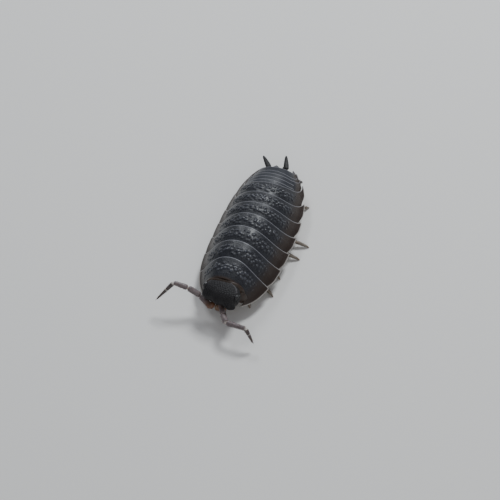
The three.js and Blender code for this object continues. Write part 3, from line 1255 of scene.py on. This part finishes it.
@dataclass
class Back:
    """All the plates of the trunk and tail."""

    narrow_reach: float = 0.6
    last_hind: Margin = Margin(14.25, 15.0, 0.05)

    def tail_front(self, s: Array) -> Array:
        """Gives the front line of the third tail plate, which spreads out behind the narrow ones."""
        out = smooth_step(self.narrow_reach - 0.08, self.narrow_reach + 0.06, np.abs(s))
        return PLEON[1].at(s) * (1 - out) + PEREON[-1].at(s) * out

    def trunk(self) -> list[Plate]:
        """Lists the seven trunk plates from the front.

        Returns:
            The plates.
        """
        first = Plate(
            "pereonite_1",
            Slot.SHELL,
            PEREON_FRONT.at,
            PEREON[0].at,
            lap=0.0,
            tuck=0.03,
            bump_height=0.055,
            bump_band=(0.36, 0.72),
            counts=(250, 90),
            collar=True,
        )
        rest = (
            Plate(f"pereonite_{i + 1}", Slot.SHELL, PEREON[i - 1].at, PEREON[i].at)
            for i in range(1, 7)
        )
        return [first, *rest]

    def tail(self) -> list[Plate]:
        """Lists the five tail plates, of which the first two are narrow.

        Returns:
            The plates.
        """
        fronts = (PEREON[-1].at, PLEON[0].at, self.tail_front, PLEON[2].at, PLEON[3].at)
        return [
            Plate(
                f"pleonite_{i + 1}",
                Slot.TAIL,
                front,
                hind.at,
                reach=self.narrow_reach + 0.02 if i < 2 else 1.0,
                lap=0.25,
                tuck=0.13,
                thick=0.1,
                bumps=0,
                specks=40,
                bump_height=0.02,
                counts=(170, 40),
            )
            for i, (front, hind) in enumerate(zip(fronts, (*PLEON[:4], self.last_hind)))
        ]

    def build(self, wardrobe: Wardrobe) -> None:
        """Makes every plate and the tail plate."""
        for part in (*self.trunk(), *self.tail(), Telson()):
            part.build(wardrobe)


# Head


@dataclass
class Head:
    """The head's shell: a domed cap with three lobes in front and a receding face below.

    Attributes:
        half: half the cap's width, in mm.
        front: how far the cap reaches ahead of its middle, in mm.
        rear: how far it reaches back, in mm.
        power: squareness of its outline, 2 for an ellipse.
        left_lobe: reach of the left lobe, in mm.
        right_lobe: reach of the right lobe, in mm.
        side_lobe_turn: angle of the side lobes from straight ahead.
        middle_lobe: reach of the middle lobe, in mm.
        top: height of the crown, in mm.
        edge: height of the cap's edge, in mm.
        chin: height of the chin, in mm.
        lip: depth of the step under the edge, in mm.
        ridge: height of the ridge across the back, in mm.
        granules: how many grains the cap carries.
        granule_rise: their height, in mm.
        counts: segments round and down.
    """

    half: float = 1.56
    front: float = 0.88
    rear: float = 0.92
    power: float = 2.4
    left_lobe: float = 0.42
    right_lobe: float = 0.2
    side_lobe_turn: float = 0.98
    middle_lobe: float = 0.14
    top: float = 3.1
    edge: float = 2.2
    chin: float = 1.22
    lip: float = 0.14
    ridge: float = 0.05
    granules: int = 430
    granule_rise: float = 0.036
    counts: tuple[int, int] = (240, 170)

    def outline(self, turn: Array) -> Array:
        """Gives the cap's radius without lobes.

        Args:
            turn: angles from straight ahead.
        Returns:
            The radius in mm at each.
        """
        deep = np.where(np.cos(turn) > 0, self.front, self.rear)
        across = np.abs(np.sin(turn) / self.half) ** self.power
        along = np.abs(np.cos(turn) / deep) ** self.power
        return (across + along) ** (-1 / self.power)

    def lobes(self, turn: Array) -> Array:
        """Gives how far the lobes stand out.

        Args:
            turn: angles from straight ahead.
        Returns:
            The reach in mm at each.
        """
        side = np.exp(-(((np.abs(turn) - self.side_lobe_turn) / 0.27) ** 4))
        middle = np.exp(-((turn / 0.3) ** 2))
        return np.where(turn > 0, self.left_lobe, self.right_lobe) * side + self.middle_lobe * middle

    def edge_height(self, turn: Array) -> Array:
        """Gives the height of the cap's edge at angles from straight ahead."""
        lobe = np.exp(-(((np.abs(turn) - self.side_lobe_turn) / 0.3) ** 2))
        return self.edge + 0.35 * smooth_step(0.1, -0.9, np.cos(turn)) - 0.08 * lobe

    def sheet(self, u: Array, v: Array) -> Array:
        """Gives the smooth head, from the crown over the edge to the chin.

        Args:
            u: grid places round the head, 0 straight ahead.
            v: grid places from the crown at -1 over the edge at 0 to the chin at 1.
        Returns:
            Rows of mm, as if the head pointed straight ahead.
        """
        turn = np.pi * u
        base, lobe, edge = self.outline(turn), self.lobes(turn), self.edge_height(turn)
        cap = np.clip(v + 1, 0, 1)
        below = np.clip(v, 0, 1)
        r_cap = base * np.sin(cap * np.pi / 2) ** 0.9 + lobe * smooth_step(0.62, 1.0, cap)
        dome = np.cos(cap * np.pi / 2) ** 0.85
        r_low = (base + lobe) * (1 - 0.62 * smooth_step(0.0, 0.22, below) * lobe / (base * 0.6))
        r_low = np.where(below > 0, r_low - 0.1 * smooth_step(0, 0.2, below), base + lobe)
        r_low = r_low * np.cos(np.clip((below - 0.2) / 0.8, 0, 1) * np.pi / 2) ** 0.8
        tuck_in = (edge - self.lip - self.chin) * smooth_step(0.06, 0.85, below)
        fall = self.lip * smooth_step(0, 0.08, below) + tuck_in
        on_cap = v + 1 <= 1
        r = np.where(on_cap, r_cap, r_low)
        z = np.where(on_cap, edge + (self.top - edge) * dome, edge - fall)
        x = np.sin(turn) * r
        y = HEAD.centre[1] - np.cos(turn) * r
        z = z + 0.1 * (y - HEAD.centre[1]) * on_cap * dome
        rear = smooth_step(0.2, -0.5, np.cos(turn)) * np.exp(-(((cap - 0.60) / 0.05) ** 2))
        return np.stack([x, y, z + self.ridge * rear * on_cap], -1)

    def granule_height(self, points: Array) -> Array:
        """Gives the height of the granules, which lie along a spiral from the crown.

        Args:
            points: rows of mm on the smooth head.
        Returns:
            The height in mm at each.
        """
        rng = rng_for("head")
        order = np.arange(self.granules)
        u = 2 * ((order * 0.618034) % 1) - 1 + rng.normal(0, 0.006, self.granules)
        v = -1 + 0.94 * np.sqrt((order + 0.5) / self.granules)
        spots = self.sheet(np.clip(u, -1, 1), v)
        sizes = rng.uniform(0.04, 0.065, self.granules)
        return tops_of(points, spots, sizes, np.full(self.granules, self.granule_rise))

    def shell(self, u: Array, v: Array) -> Array:
        """Gives the granulate head in its place.

        Args:
            u: grid places round the head.
            v: grid places from crown to chin.
        Returns:
            Rows of metres.
        """
        points = self.sheet(u, v)
        normal = normals_of(self.sheet, u, v)
        out = points - np.array([0, HEAD.centre[1], 2.0])
        normal[(normal * out).sum(-1) < 0] *= -1
        rise = self.granule_height(points) * (v < -0.05)
        return to_row(HEAD.turn(points + normal * rise[:, None]))

    def ridge_mask(self, u: Array, v: Array) -> Array:
        """Marks the pale ridge across the back of the head."""
        line = np.exp(-(((v + 0.40) / 0.045) ** 2))
        return 0.95 * line * smooth_step(0.2, -0.5, np.cos(np.pi * u))

    def face_mask(self, u: Array, v: Array) -> Array:
        """Marks the brown face below the edge."""
        return smooth_step(0.12, 0.5, v)

    def granule_mask(self, u: Array, v: Array) -> Array:
        """Marks the tips of the granules, which get a painted highlight colour and a smoother finish."""
        return self.granule_height(self.sheet(u, v)) / self.granule_rise * (v < 0)

    def build(self, wardrobe: Wardrobe) -> None:
        """Makes the head and the neck.

        Args:
            wardrobe: the finishes.
        """
        masks = {"hind": self.ridge_mask, "side": self.face_mask, "rim": none, "collar": none}
        masks["lump"] = self.granule_mask
        bm = bmesh.new()
        grid_into(bm, self.counts, self.shell, masks)
        merge(bm)
        wardrobe.dress("head_cap", bm, Slot.HEAD, "head")
        Neck().build()


@dataclass
class Neck:
    """The soft brown skin between the head and the first plate, with a fold on each side."""

    centre: Triple = (0.0, 1.70, 1.98)
    radii: Triple = (1.66, 0.5, 1.17)
    fold: Triple = (1.46, 1.44, 1.66)
    fold_radii: Triple = (0.44, 0.15, 0.62)
    fold_turn: float = 0.35

    def build(self) -> bpy.types.Object:
        """Makes the skin.

        Returns:
            The placed object.
        """
        bm = limb_mesh()
        ball_into(bm, BODY.spot(*self.centre), self.radii, Matrix.Identity(3), detail=(64, 40))
        x, y, z = self.fold
        for side in (-1, 1):
            slant = Matrix.Rotation(side * self.fold_turn, 3, "Z")
            ball_into(bm, BODY.spot(side * x, y, z), self.fold_radii, slant)
        return place(mesh_piece("neck_skin", bm, NECK_FINISH.build()), Slot.MOUTH.value)


@dataclass
class Eye:
    """A patch of small round lenses on the side of the head.

    Attributes:
        side: left or right.
        radii: half the patch's size along each axis, in mm.
        proud: how far it stands off its solid, in mm.
        tilt: its lean outwards.
        rows: rows of lenses.
        middle_row: lenses in the middle row.
        row_step: degrees between rows.
        lens_step: degrees between the lenses of a row.
        lens_radius: a lens's radius against the patch's.
    """

    side: Side
    radii: Triple = (0.16, 0.3, 0.22)
    proud: Triple = (0.05, 0.0, 0.09)
    tilt: float = 0.45
    rows: int = 5
    middle_row: int = 6
    row_step: float = 22.0
    lens_step: float = 24.0
    lens_radius: float = 0.17

    def lens_spots(self) -> list[Vector]:
        """Sets out the lenses on a unit sphere.

        Returns:
            The direction of each.
        """
        spots = []
        half = self.rows // 2
        for row in range(self.rows):
            pitch = math.radians(self.row_step * (row - half))
            count = self.middle_row - abs(row - half)
            for k in range(count):
                yaw = math.radians(self.lens_step * (k - (count - 1) / 2))
                out = math.cos(pitch) * math.cos(yaw) * self.side.value
                spots.append(Vector((out, math.cos(pitch) * math.sin(yaw), math.sin(pitch))))
        return spots

    def build(self, wardrobe: Wardrobe) -> bpy.types.Object:
        """Makes the eye.

        Args:
            wardrobe: the finishes.
        Returns:
            The placed object.
        """
        bm = bmesh.new()
        bmesh.ops.create_uvsphere(bm, u_segments=32, v_segments=20, radius=0.93)
        for spot in self.lens_spots():
            at = Matrix.Translation(spot * 0.9)
            bmesh.ops.create_uvsphere(
                bm, u_segments=12, v_segments=8, radius=self.lens_radius, matrix=at
            )
        way = self.side.value
        turn = Matrix.Rotation(HEAD.yaw, 3, "Z") @ Matrix.Rotation(way * self.tilt, 3, "Y")
        centre = HEAD.turn((EYE_AT + np.array(self.proud)) * np.array([way, 1, 1]))
        for vert in bm.verts:
            local = turn @ Vector([vert.co[i] * self.radii[i] for i in range(3)])
            vert.co = Vector(to_row(np.array(local) + centre))
        bmesh.ops.recalc_face_normals(bm, faces=bm.faces)
        name = f"eye_{self.side.word}"
        return wardrobe.dress(name + "_lenses", bm, Slot.EYE, name)


@dataclass(frozen=True)
class Lump:
    """One rounded mouthpart.

    Attributes:
        centre: its middle in mm, as if the head pointed straight ahead.
        radii: half its size along each axis, in mm.
        tilt: its turn about the x axis.
        root: how strongly it has the colour of a limb's root.
    """

    centre: Triple
    radii: Triple
    tilt: float
    root: float

    def add_to(self, bm: bmesh.types.BMesh, way: int = 1) -> None:
        """Adds the lump to a mesh.

        Args:
            bm: the mesh.
            way: 1 as it stands or -1 mirrored to the right.
        """
        turn = Matrix.Rotation(HEAD.yaw, 3, "Z") @ Matrix.Rotation(self.tilt, 3, "X")
        centre = HEAD.turn(np.array(self.centre) * np.array([way, 1, 1]))
        ball_into(bm, centre, self.radii, turn, {"root": self.root})


@dataclass
class Mouth:
    """The cone of mouthparts under the head: upper lip, two jaws and two cover plates."""

    middle: tuple[Lump, ...] = (
        Lump((0, 0.62, 1.06), (0.46, 0.4, 0.36), -0.3, 0.0),
        Lump((0, 0.32, 1.18), (0.3, 0.14, 0.3), -0.25, 0.35),
    )
    pairs: tuple[Lump, ...] = (
        Lump((0.3, 0.42, 0.98), (0.2, 0.2, 0.3), -0.2, 0.15),
        Lump((0.17, 0.78, 0.80), (0.18, 0.32, 0.12), -0.5, 0.0),
        Lump((0.12, 0.42, 0.70), (0.09, 0.1, 0.12), 0.0, 0.9),
    )

    def build(self, wardrobe: Wardrobe) -> bpy.types.Object:
        """Makes the mouthparts.

        Args:
            wardrobe: the finishes.
        Returns:
            The placed object.
        """
        bm = limb_mesh()
        for lump in self.middle:
            lump.add_to(bm)
        for way in (-1, 1):
            for lump in self.pairs:
                lump.add_to(bm, way)
        return wardrobe.dress("mouth_cone", bm, Slot.MOUTH, "mouthparts")


# Feelers


@dataclass
class Antenna:
    """One feeler: a two-part root, two long articles and a two-part whip.

    Attributes:
        side: left or right.
        tint: how orange the root is.
        joints: the joints from the head outwards, in mm on the bent body.
        radii: radius at each joint, in mm.
        inside: where the root runs to within the head.
        bury: how far the root runs in, in mm.
        lap: how far neighbouring articles run into each other, in mm.
        waist: where along the whip its two parts meet.
    """

    side: Side
    tint: float
    joints: tuple[Triple, ...]
    radii: tuple[float, ...] = (0.25, 0.235, 0.225, 0.175, 0.045)
    inside: Triple = (-0.2, 0.85, 1.7)
    bury: float = 0.45
    lap: float = 0.03
    waist: float = 0.42
    parts: tuple[str, ...] = ("base", "article_4", "article_5", "flagellum")
    hair: Coat = Coat(70, (0.1, 0.97), 0.55, (0.07, 0.13), 0.009)
    whip_hair: Coat = Coat(90, (0.1, 0.97), 0.55, (0.07, 0.13), 0.009)

    def profile(self, whip: bool, r0: float, r1: float) -> tuple[tuple[float, float], ...]:
        """Gives the swell of an article along its length.

        Args:
            whip: whether it is the whip, with a waist.
            r0: radius at the start, in mm.
            r1: radius at the end, in mm.
        Returns:
            Pairs of share and radius.
        """
        if whip:
            shares = (0, 0.08, 0.38, 0.41, 0.45, 0.85, 1.0)
            sizes = (r0 * 0.75, r0, r0 * 0.84, r0 * 0.66, r0 * 0.8, r0 * 0.42, r1)
        else:
            shares = (0.0, 0.07, 0.16, 0.8, 0.93, 1.0)
            sizes = (r0 * 0.7, r0 * 0.86, r0 * 0.98, r1 * 1.04, r1 * 1.12, r1 * 0.9)
        return tuple(zip(shares, sizes))

    def masks(self, base: bool, whip: bool) -> Masks:
        """Gives the vertex values of an article.

        Args:
            base: whether it is the root.
            whip: whether it is the whip.
        Returns:
            Values of (turn, share of the length).
        """

        def joint(turn: Array, t: Array) -> Array:
            """Marks the pale joint rings.

            Args:
                turn: angle round the article.
                t: share of its length.
            Returns:
                0 to 1 for each.
            """
            start = (1 - smooth_step(0.03, 0.1, t)) * (not base)
            ring = np.exp(-(((t - self.waist) / 0.02) ** 2)) * whip
            tip = smooth_step(0.93, 0.99, t) * (not whip)
            return np.maximum(np.maximum(start, ring), tip * 0.8)

        def root(turn: Array, t: Array) -> Array:
            """Marks the orange root."""
            return self.tint * base * (1 - smooth_step(0.15, 0.75, t)) * 0.9

        return {"joint": joint, "root": root, "bristle": none}

    def article(self, i: int, wardrobe: Wardrobe) -> bpy.types.Object:
        """Makes one article with its joint rings and bristles.

        Args:
            i: its number from the head, from 0.
            wardrobe: the finishes.
        Returns:
            The placed object.
        """
        base, whip = i == 0, i == len(self.parts) - 1
        a, b = np.array(self.joints[i]), np.array(self.joints[i + 1])
        ahead = unit(b - a)
        a = a - ahead * (0.0 if base else self.lap)
        b = b + ahead * (-0.1 if whip else self.lap)
        path = [a, b]
        if base:
            path.insert(0, a + self.bury * unit(np.array(self.inside) - a))
        tube = Tube(np.array(path), self.profile(whip, self.radii[i], self.radii[i + 1]))
        bm = limb_mesh()
        tube.add_to(bm, (28, 40), self.masks(base, whip))
        merge(bm)
        name = f"antenna_{self.side.word}_{self.parts[i]}"
        rng = rng_for(name)
        along = unit(b - a)
        (self.whip_hair if whip else self.hair).grow_on(bm, tube, along, rng)
        if whip:
            tuft = 5
            tips = np.repeat(to_row(np.array([b])), tuft, axis=0)
            fan = unit(along + rng.normal(0, 0.12, (tuft, 3)))
            bristles_into(bm, tips, fan, np.full(tuft, 0.16), 0.01)
        bmesh.ops.recalc_face_normals(bm, faces=bm.faces)
        slot = Slot.FLAGELLUM if whip else Slot.ANTENNA
        return wardrobe.dress(name + "_horn", bm, slot, name)

    def build(self, wardrobe: Wardrobe) -> None:
        """Makes the feeler's four pieces."""
        for i in range(len(self.parts)):
            self.article(i, wardrobe)


ANTENNAE = (
    Antenna(
        Side.LEFT,
        0.4,
        (
            (0.22, 0.06, 1.56),
            (0.5, -0.42, 1.6),
            (1.06, -1.23, 1.7),
            (2.78, -1.45, 1.78),
            (3.45, -1.9, 0.66),
        ),
    ),
    Antenna(
        Side.RIGHT,
        1.0,
        (
            (-0.78, 0.1, 1.5),
            (-1.79, 0.76, 1.68),
            (-2.78, 0.82, 2.28),
            (-3.9, 0.72, 2.66),
            (-5.26, -0.27, 1.26),
        ),
    ),
)


# Legs


@dataclass
class Leg:
    """One walking leg, from its root under the belly to a small claw on the ground.

    Attributes:
        node: the solid that it replaces.
        side: left or right.
        root_y: y of the root on the straight body, in mm.
        foot: x and y of the foot on the bent body, in mm.
        hip_x: how far out the root is, in mm.
        stations: share of the way to the foot, height in mm and radius in mm at each joint.
    """

    node: str
    side: Side
    root_y: float
    foot: tuple[float, float]
    hip_x: float = 1.2
    stations: tuple[Triple, ...] = (
        (0.0, 1.72, 0.25),
        (0.03, 1.2, 0.26),
        (0.17, 0.93, 0.23),
        (0.4, 0.73, 0.21),
        (0.66, 0.45, 0.165),
        (0.92, 0.16, 0.105),
        (1.0, 0.03, 0.045),
    )
    hair: Coat = Coat(26, (0.15, 0.95), 0.7, (0.08, 0.17), 0.011)

    def article(
        self, bm: bmesh.types.BMesh, i: int, joints: list[Array], up: Triple, rng: np.random.Generator
    ) -> None:
        """Adds one article of the leg.

        Args:
            bm: the mesh to add to.
            i: its number from the root, from 0.
            joints: the joints in mm.
            up: the upright of its section.
            rng: the leg's random source.
        """
        claw = i == len(joints) - 2
        a, b = joints[i], joints[i + 1]
        r0, r1 = self.stations[i][2], self.stations[i + 1][2]
        ahead = unit(b - a)
        profile = ((0.0, r0 * 0.78), (0.16, r0 * 0.94), (0.75, r1 * 1.12), (1.0, r1))
        tube = Tube(np.array([a - ahead * 0.05, b + ahead * 0.06 * (not claw)]), profile, up=up)

        def joint(turn: Array, t: Array) -> Array:
            """Marks the pale joint rings."""
            pale = np.maximum(1 - smooth_step(0.04, 0.12, t), smooth_step(0.9, 0.97, t))
            return pale * 0.9 * (not claw)

        def horn(turn: Array, t: Array) -> Array:
            """Marks the brown tip of the claw."""
            return smooth_step(0.3, 0.8, t) * 0.45 * claw

        tube.add_to(bm, (20, 18), {"joint": joint, "root": horn, "bristle": none})
        if i > 1 and not claw:
            self.hair.grow_on(bm, tube, ahead, rng)

    def build(self, wardrobe: Wardrobe) -> bpy.types.Object:
        """Makes the leg as one mesh.

        Args:
            wardrobe: the finishes.
        Returns:
            The placed object.
        """
        way = self.side.value
        hip = BODY.spot(way * self.hip_x, self.root_y, 0.0)
        foot = np.array([self.foot[0] * way, self.foot[1], 0.0])
        joints = []
        for part, z, _ in self.stations:
            spot = hip + (foot - hip) * part
            joints.append(np.array([spot[0], spot[1], z]))
        out = unit(foot - hip)
        bm, rng = limb_mesh(), rng_for(self.node)
        for i in range(len(joints) - 1):
            self.article(bm, i, joints, (float(-out[1]), float(out[0]), 0.0), rng)
        merge(bm)
        return wardrobe.dress(self.node + "_limb", bm, Slot.LEG, self.node)


LEG_ROOTS = (2.75, 4.35, 5.9, 7.35, 8.7, 9.95, 11.2)
LEFT_FEET = ((1.75, 1.75), (3.15, 3.3), (3.1, 5.1), (3.95, 7.4), (4.25, 8.8), (2.85, 11.0), (2.9, 12.8))
RIGHT_FEET = ((2.3, 1.9), (3.0, 3.7), (3.5, 5.6), (3.6, 7.2), (3.7, 9.4), (3.3, 11.2), (2.7, 12.5))


# Tail limbs, gills and belly


@dataclass
class TailLimb:
    """One tail limb: a stout root, a long pointed outer blade and a slim inner one.

    Attributes:
        side: left or right.
        tip: the outer blade's tip, in mm on the bent body.
        root: where the limb starts on the straight body's left side.
        knee: where the blades start.
        hair: its bristles.
    """

    side: Side
    tip: Triple
    root: Triple = (0.66, 14.1, 1.6)
    knee: Triple = (0.7, 14.86, 1.58)
    hair: Coat = Coat(60, (0.15, 0.92), 0.35, (0.06, 0.1), 0.008)

    def tubes(self) -> dict[str, list[Tube]]:
        """Lists the tubes of the root with the inner blade, and of the outer blade.

        Returns:
            The tubes of each solid.
        """
        way = self.side.value
        root = BODY.spot(way * self.root[0], *self.root[1:])
        knee = BODY.spot(way * self.knee[0], *self.knee[1:])
        tip = np.array(self.tip)
        inner = np.array([knee + [-way * 0.42, -0.35, -0.12], knee + [-way * 0.34, 0.62, -0.16]])
        outer = np.array([knee, knee + (tip - knee) * 0.5 + [0, 0, 0.03], tip])
        return {
            "base": [
                Tube(np.array([root, knee]), ((0, 0.2), (0.3, 0.25), (0.8, 0.25), (1, 0.2))),
                Tube(inner, ((0, 0.09), (0.3, 0.1), (0.8, 0.06), (1, 0.02))),
            ],
            "exopod": [
                Tube(outer, ((0, 0.16), (0.1, 0.22), (0.35, 0.215), (0.8, 0.125), (1, 0.055)), flat=0.72)
            ],
        }

    def build(self, wardrobe: Wardrobe) -> None:
        """Makes the limb's two pieces.

        Args:
            wardrobe: the finishes.
        """
        for part, tubes in self.tubes().items():
            name = f"uropod_{self.side.word}_{part}"
            bm, rng = limb_mesh(), rng_for(name)
            for tube in tubes:
                tube.add_to(bm, (28, 44), {"joint": none})
                merge(bm)
                self.hair.grow_on(bm, tube, unit(tube.path[-1] - tube.path[0]), rng)
            bmesh.ops.recalc_face_normals(bm, faces=bm.faces)
            wardrobe.dress(name + "_horn", bm, Slot.UROPOD, name)


@dataclass
class Gills:
    """Five pairs of overlapping gill plates under the tail, the first two with white patches."""

    start_y: float = 12.25
    step: float = 0.42
    x: float = 0.62
    z: float = 1.44
    half: tuple[float, float] = (0.5, 0.42)
    thick: float = 0.07
    count: int = 5
    white: int = 2

    def build(self, wardrobe: Wardrobe) -> None:
        """Makes the left and right packs.

        Args:
            wardrobe: the finishes.
        """
        for side in Side:
            bm = limb_mesh()
            turn = Matrix.Rotation(side.value * 0.18, 3, "Z") @ Matrix.Rotation(0.2, 3, "X")
            for i in range(self.count):
                y, z = self.start_y + self.step * i, self.z - 0.05 * (i % 2)
                radii = (self.half[0], self.half[1] - 0.02 * i, self.thick)
                pale = 0.9 if i < self.white else 0.15
                ball_into(bm, BODY.spot(side.value * self.x, y, z), radii, turn, {"joint": pale})
            name = f"pleopods_{side.word}"
            wardrobe.dress(name + "_plates", bm, Slot.GILL, name)


@dataclass
class Belly:
    """The soft underside between the legs, with a cross ridge for each ring."""

    first_y: float = 2.2
    last_y: float = 13.9
    reach: float = 0.74
    sag: float = 0.12
    depth: float = 0.42
    skin: float = 0.06
    ridge: float = 0.07
    counts: tuple[int, int] = (90, 220)

    def along(self, v: Array) -> Array:
        """Gives y in mm at grid places v."""
        return self.first_y + (self.last_y - self.first_y) * (v + 1) / 2

    def face(self, u: Array, v: Array, side: int) -> Array:
        """Gives one face of the skin.

        Args:
            u: grid places across.
            v: grid places along.
            side: 1 for the upper face and -1 for the lower one.
        Returns:
            Rows of metres.
        """
        s, y = self.reach * u, self.along(v)
        points = BODY.surface(s, y, self.depth)
        level = BODY.belly_height - self.sag * (1 - s * s)
        edges = np.array([0.0, *(m.mid for m in PEREON), *(m.mid for m in PLEON)])
        gap = np.min(np.abs(y[:, None] - 0.35 - edges[None, :]), axis=1)
        ridge = self.ridge * np.exp(-((gap / 0.16) ** 2)) * (1 - u * u)
        fade = np.sqrt(np.clip(1 - np.maximum(np.abs(u), np.abs(v)) ** 40, 0, 1))
        low = np.minimum(points[..., 2] - 0.1, level) + ridge
        points[..., 2] = low + (self.skin * fade if side > 0 else 0.0)
        return to_row(BODY.bend(points))

    def pale_mask(self, u: Array, v: Array) -> Array:
        """Marks the paler bands across."""
        return 0.35 + 0.25 * np.sin(self.along(v) * 4.4)

    def build(self) -> bpy.types.Object:
        """Makes the underside.

        Returns:
            The placed object.
        """
        bm = bmesh.new()
        wall_into(bm, self.counts, self.face, {"joint": self.pale_mask, "root": none, "bristle": none})
        return place(mesh_piece("belly_skin", bm, BELLY_FINISH.build()), Slot.GILL.value)


# Studio


@dataclass(frozen=True)
class Lamp:
    """One soft square light that looks at the animal.

    Attributes:
        name: its name.
        spot: where it is, in metres.
        size: its side, in metres.
        power: in watts.
        colour: red, green and blue.
    """

    name: str
    spot: Triple
    size: float
    power: float
    colour: Triple

    def hang(self) -> None:
        """Adds the light to the scene."""
        data = bpy.data.lights.new(self.name, "AREA")
        data.shape = "SQUARE"
        data.size = self.size
        data.energy = self.power
        data.color = self.colour
        lamp = bpy.data.objects.new(self.name, data)
        lamp.location = self.spot
        lamp.rotation_euler = (-Vector(self.spot)).to_track_quat("-Z", "Y").to_euler()
        bpy.context.scene.collection.objects.link(lamp)


@dataclass
class Studio:
    """The floor, the lights and the camera that matches the photograph.

    Attributes:
        turn: camera's turn from straight ahead, in degrees.
        lift: its height angle, in degrees.
        roll: its roll, in degrees.
        pixels_per_mm: scale at the aim.
        frame_px: width of the picture in pixels.
        aim_px: where the middle of the body is seen.
        aim: the middle of the body on the straight body, in mm.
        distance: in mm.
        sensor: its width in mm.
        clip: nearest and farthest sight, in metres.
        floor_half: half the floor's side, in metres.
        lamps: the lights.
        sky: colour of the light from all round.
        sky_strength: its strength.
    """

    turn: float = 27.5
    lift: float = 49.5
    roll: float = -9.8
    pixels_per_mm: float = 12.62
    frame_px: float = 500.0
    aim_px: tuple[float, float] = (250.8, 231.2)
    aim: Triple = (0.0, 7.5, 2.28)
    distance: float = 155.0
    sensor: float = 36.0
    clip: tuple[float, float] = (0.005, 5.0)
    floor_half: float = 0.6
    floor_colour: Colour = (0.80, 0.79, 0.77, 1)
    lamps: tuple[Lamp, ...] = (
        Lamp("key", (0.035, 0.115, 0.155), 0.05, 0.27, (0.93, 0.97, 1.0)),
        Lamp("far", (-0.085, 0.10, 0.14), 0.045, 0.08, (0.92, 0.96, 1.0)),
        Lamp("fill", (0.10, -0.14, 0.12), 0.14, 0.09, (1.0, 0.97, 0.93)),
    )
    sky: Colour = (0.85, 0.9, 1.0, 1)
    sky_strength: float = 0.23

    def camera(self) -> None:
        """Sets up the camera."""
        a, e, r = (math.radians(v) for v in (self.turn, self.lift, self.roll))
        back = np.array([math.sin(a) * math.cos(e), -math.cos(a) * math.cos(e), math.sin(e)])
        right = np.array([math.cos(a), math.sin(a), 0])
        up = np.cross(back, right)
        dx, dy = (self.frame_px / 2 - p for p in self.aim_px)
        u = (dx * math.cos(r) + dy * math.sin(r)) / self.pixels_per_mm
        v = (-dx * math.sin(r) + dy * math.cos(r)) / self.pixels_per_mm
        target = np.array(self.aim) + right * u - up * v
        eye = to_row(target + back * self.distance)
        across = right * math.cos(r) + up * math.sin(r)
        above = -right * math.sin(r) + up * math.cos(r)
        data = bpy.data.cameras.new("camera")
        data.sensor_width = self.sensor
        data.lens = self.sensor * self.distance * self.pixels_per_mm / self.frame_px
        data.clip_start, data.clip_end = self.clip
        camera = bpy.data.objects.new("camera", data)
        turn = Matrix([list(row) for row in zip(across, above, back)]).to_4x4()
        camera.matrix_world = Matrix.Translation(Vector(eye)) @ turn
        bpy.context.scene.collection.objects.link(camera)
        bpy.context.scene.camera = camera

    def floor(self) -> None:
        """Lays a plain pale floor."""
        bm = bmesh.new()
        bmesh.ops.create_grid(bm, x_segments=1, y_segments=1, size=self.floor_half)
        finish = Graph("floor_pale").dress(Base_Color=self.floor_colour, Roughness=0.8)
        mesh_piece("floor", bm, finish)

    def build(self) -> None:
        """Sets the whole studio."""
        self.camera()
        self.floor()
        for lamp in self.lamps:
            lamp.hang()
        world = bpy.data.worlds.new("studio")
        world.use_nodes = True
        light = world.node_tree.nodes["Background"]
        light.inputs["Color"].default_value = self.sky
        light.inputs["Strength"].default_value = self.sky_strength
        bpy.context.scene.world = world


def main() -> None:
    """Builds the animal and the studio in order."""
    logging.basicConfig(level=logging.INFO, format="%(message)s")
    wardrobe = Wardrobe()
    Studio().build()
    Back().build(wardrobe)
    Head().build(wardrobe)
    for side in (Side.RIGHT, Side.LEFT):
        Eye(side).build(wardrobe)
    Mouth().build(wardrobe)
    for antenna in ANTENNAE:
        antenna.build(wardrobe)
    for i, root_y in enumerate(LEG_ROOTS):
        for side, feet in ((Side.LEFT, LEFT_FEET), (Side.RIGHT, RIGHT_FEET)):
            Leg(f"leg_{side.word}_{i + 1}", side, root_y, feet[i]).build(wardrobe)
    TailLimb(Side.LEFT, (-0.22, 16.45, 1.6)).build(wardrobe)
    TailLimb(Side.RIGHT, (-2.08, 16.0, 1.6)).build(wardrobe)
    Gills().build(wardrobe)
    Belly().build()


if __name__ == "__main__":
    main()
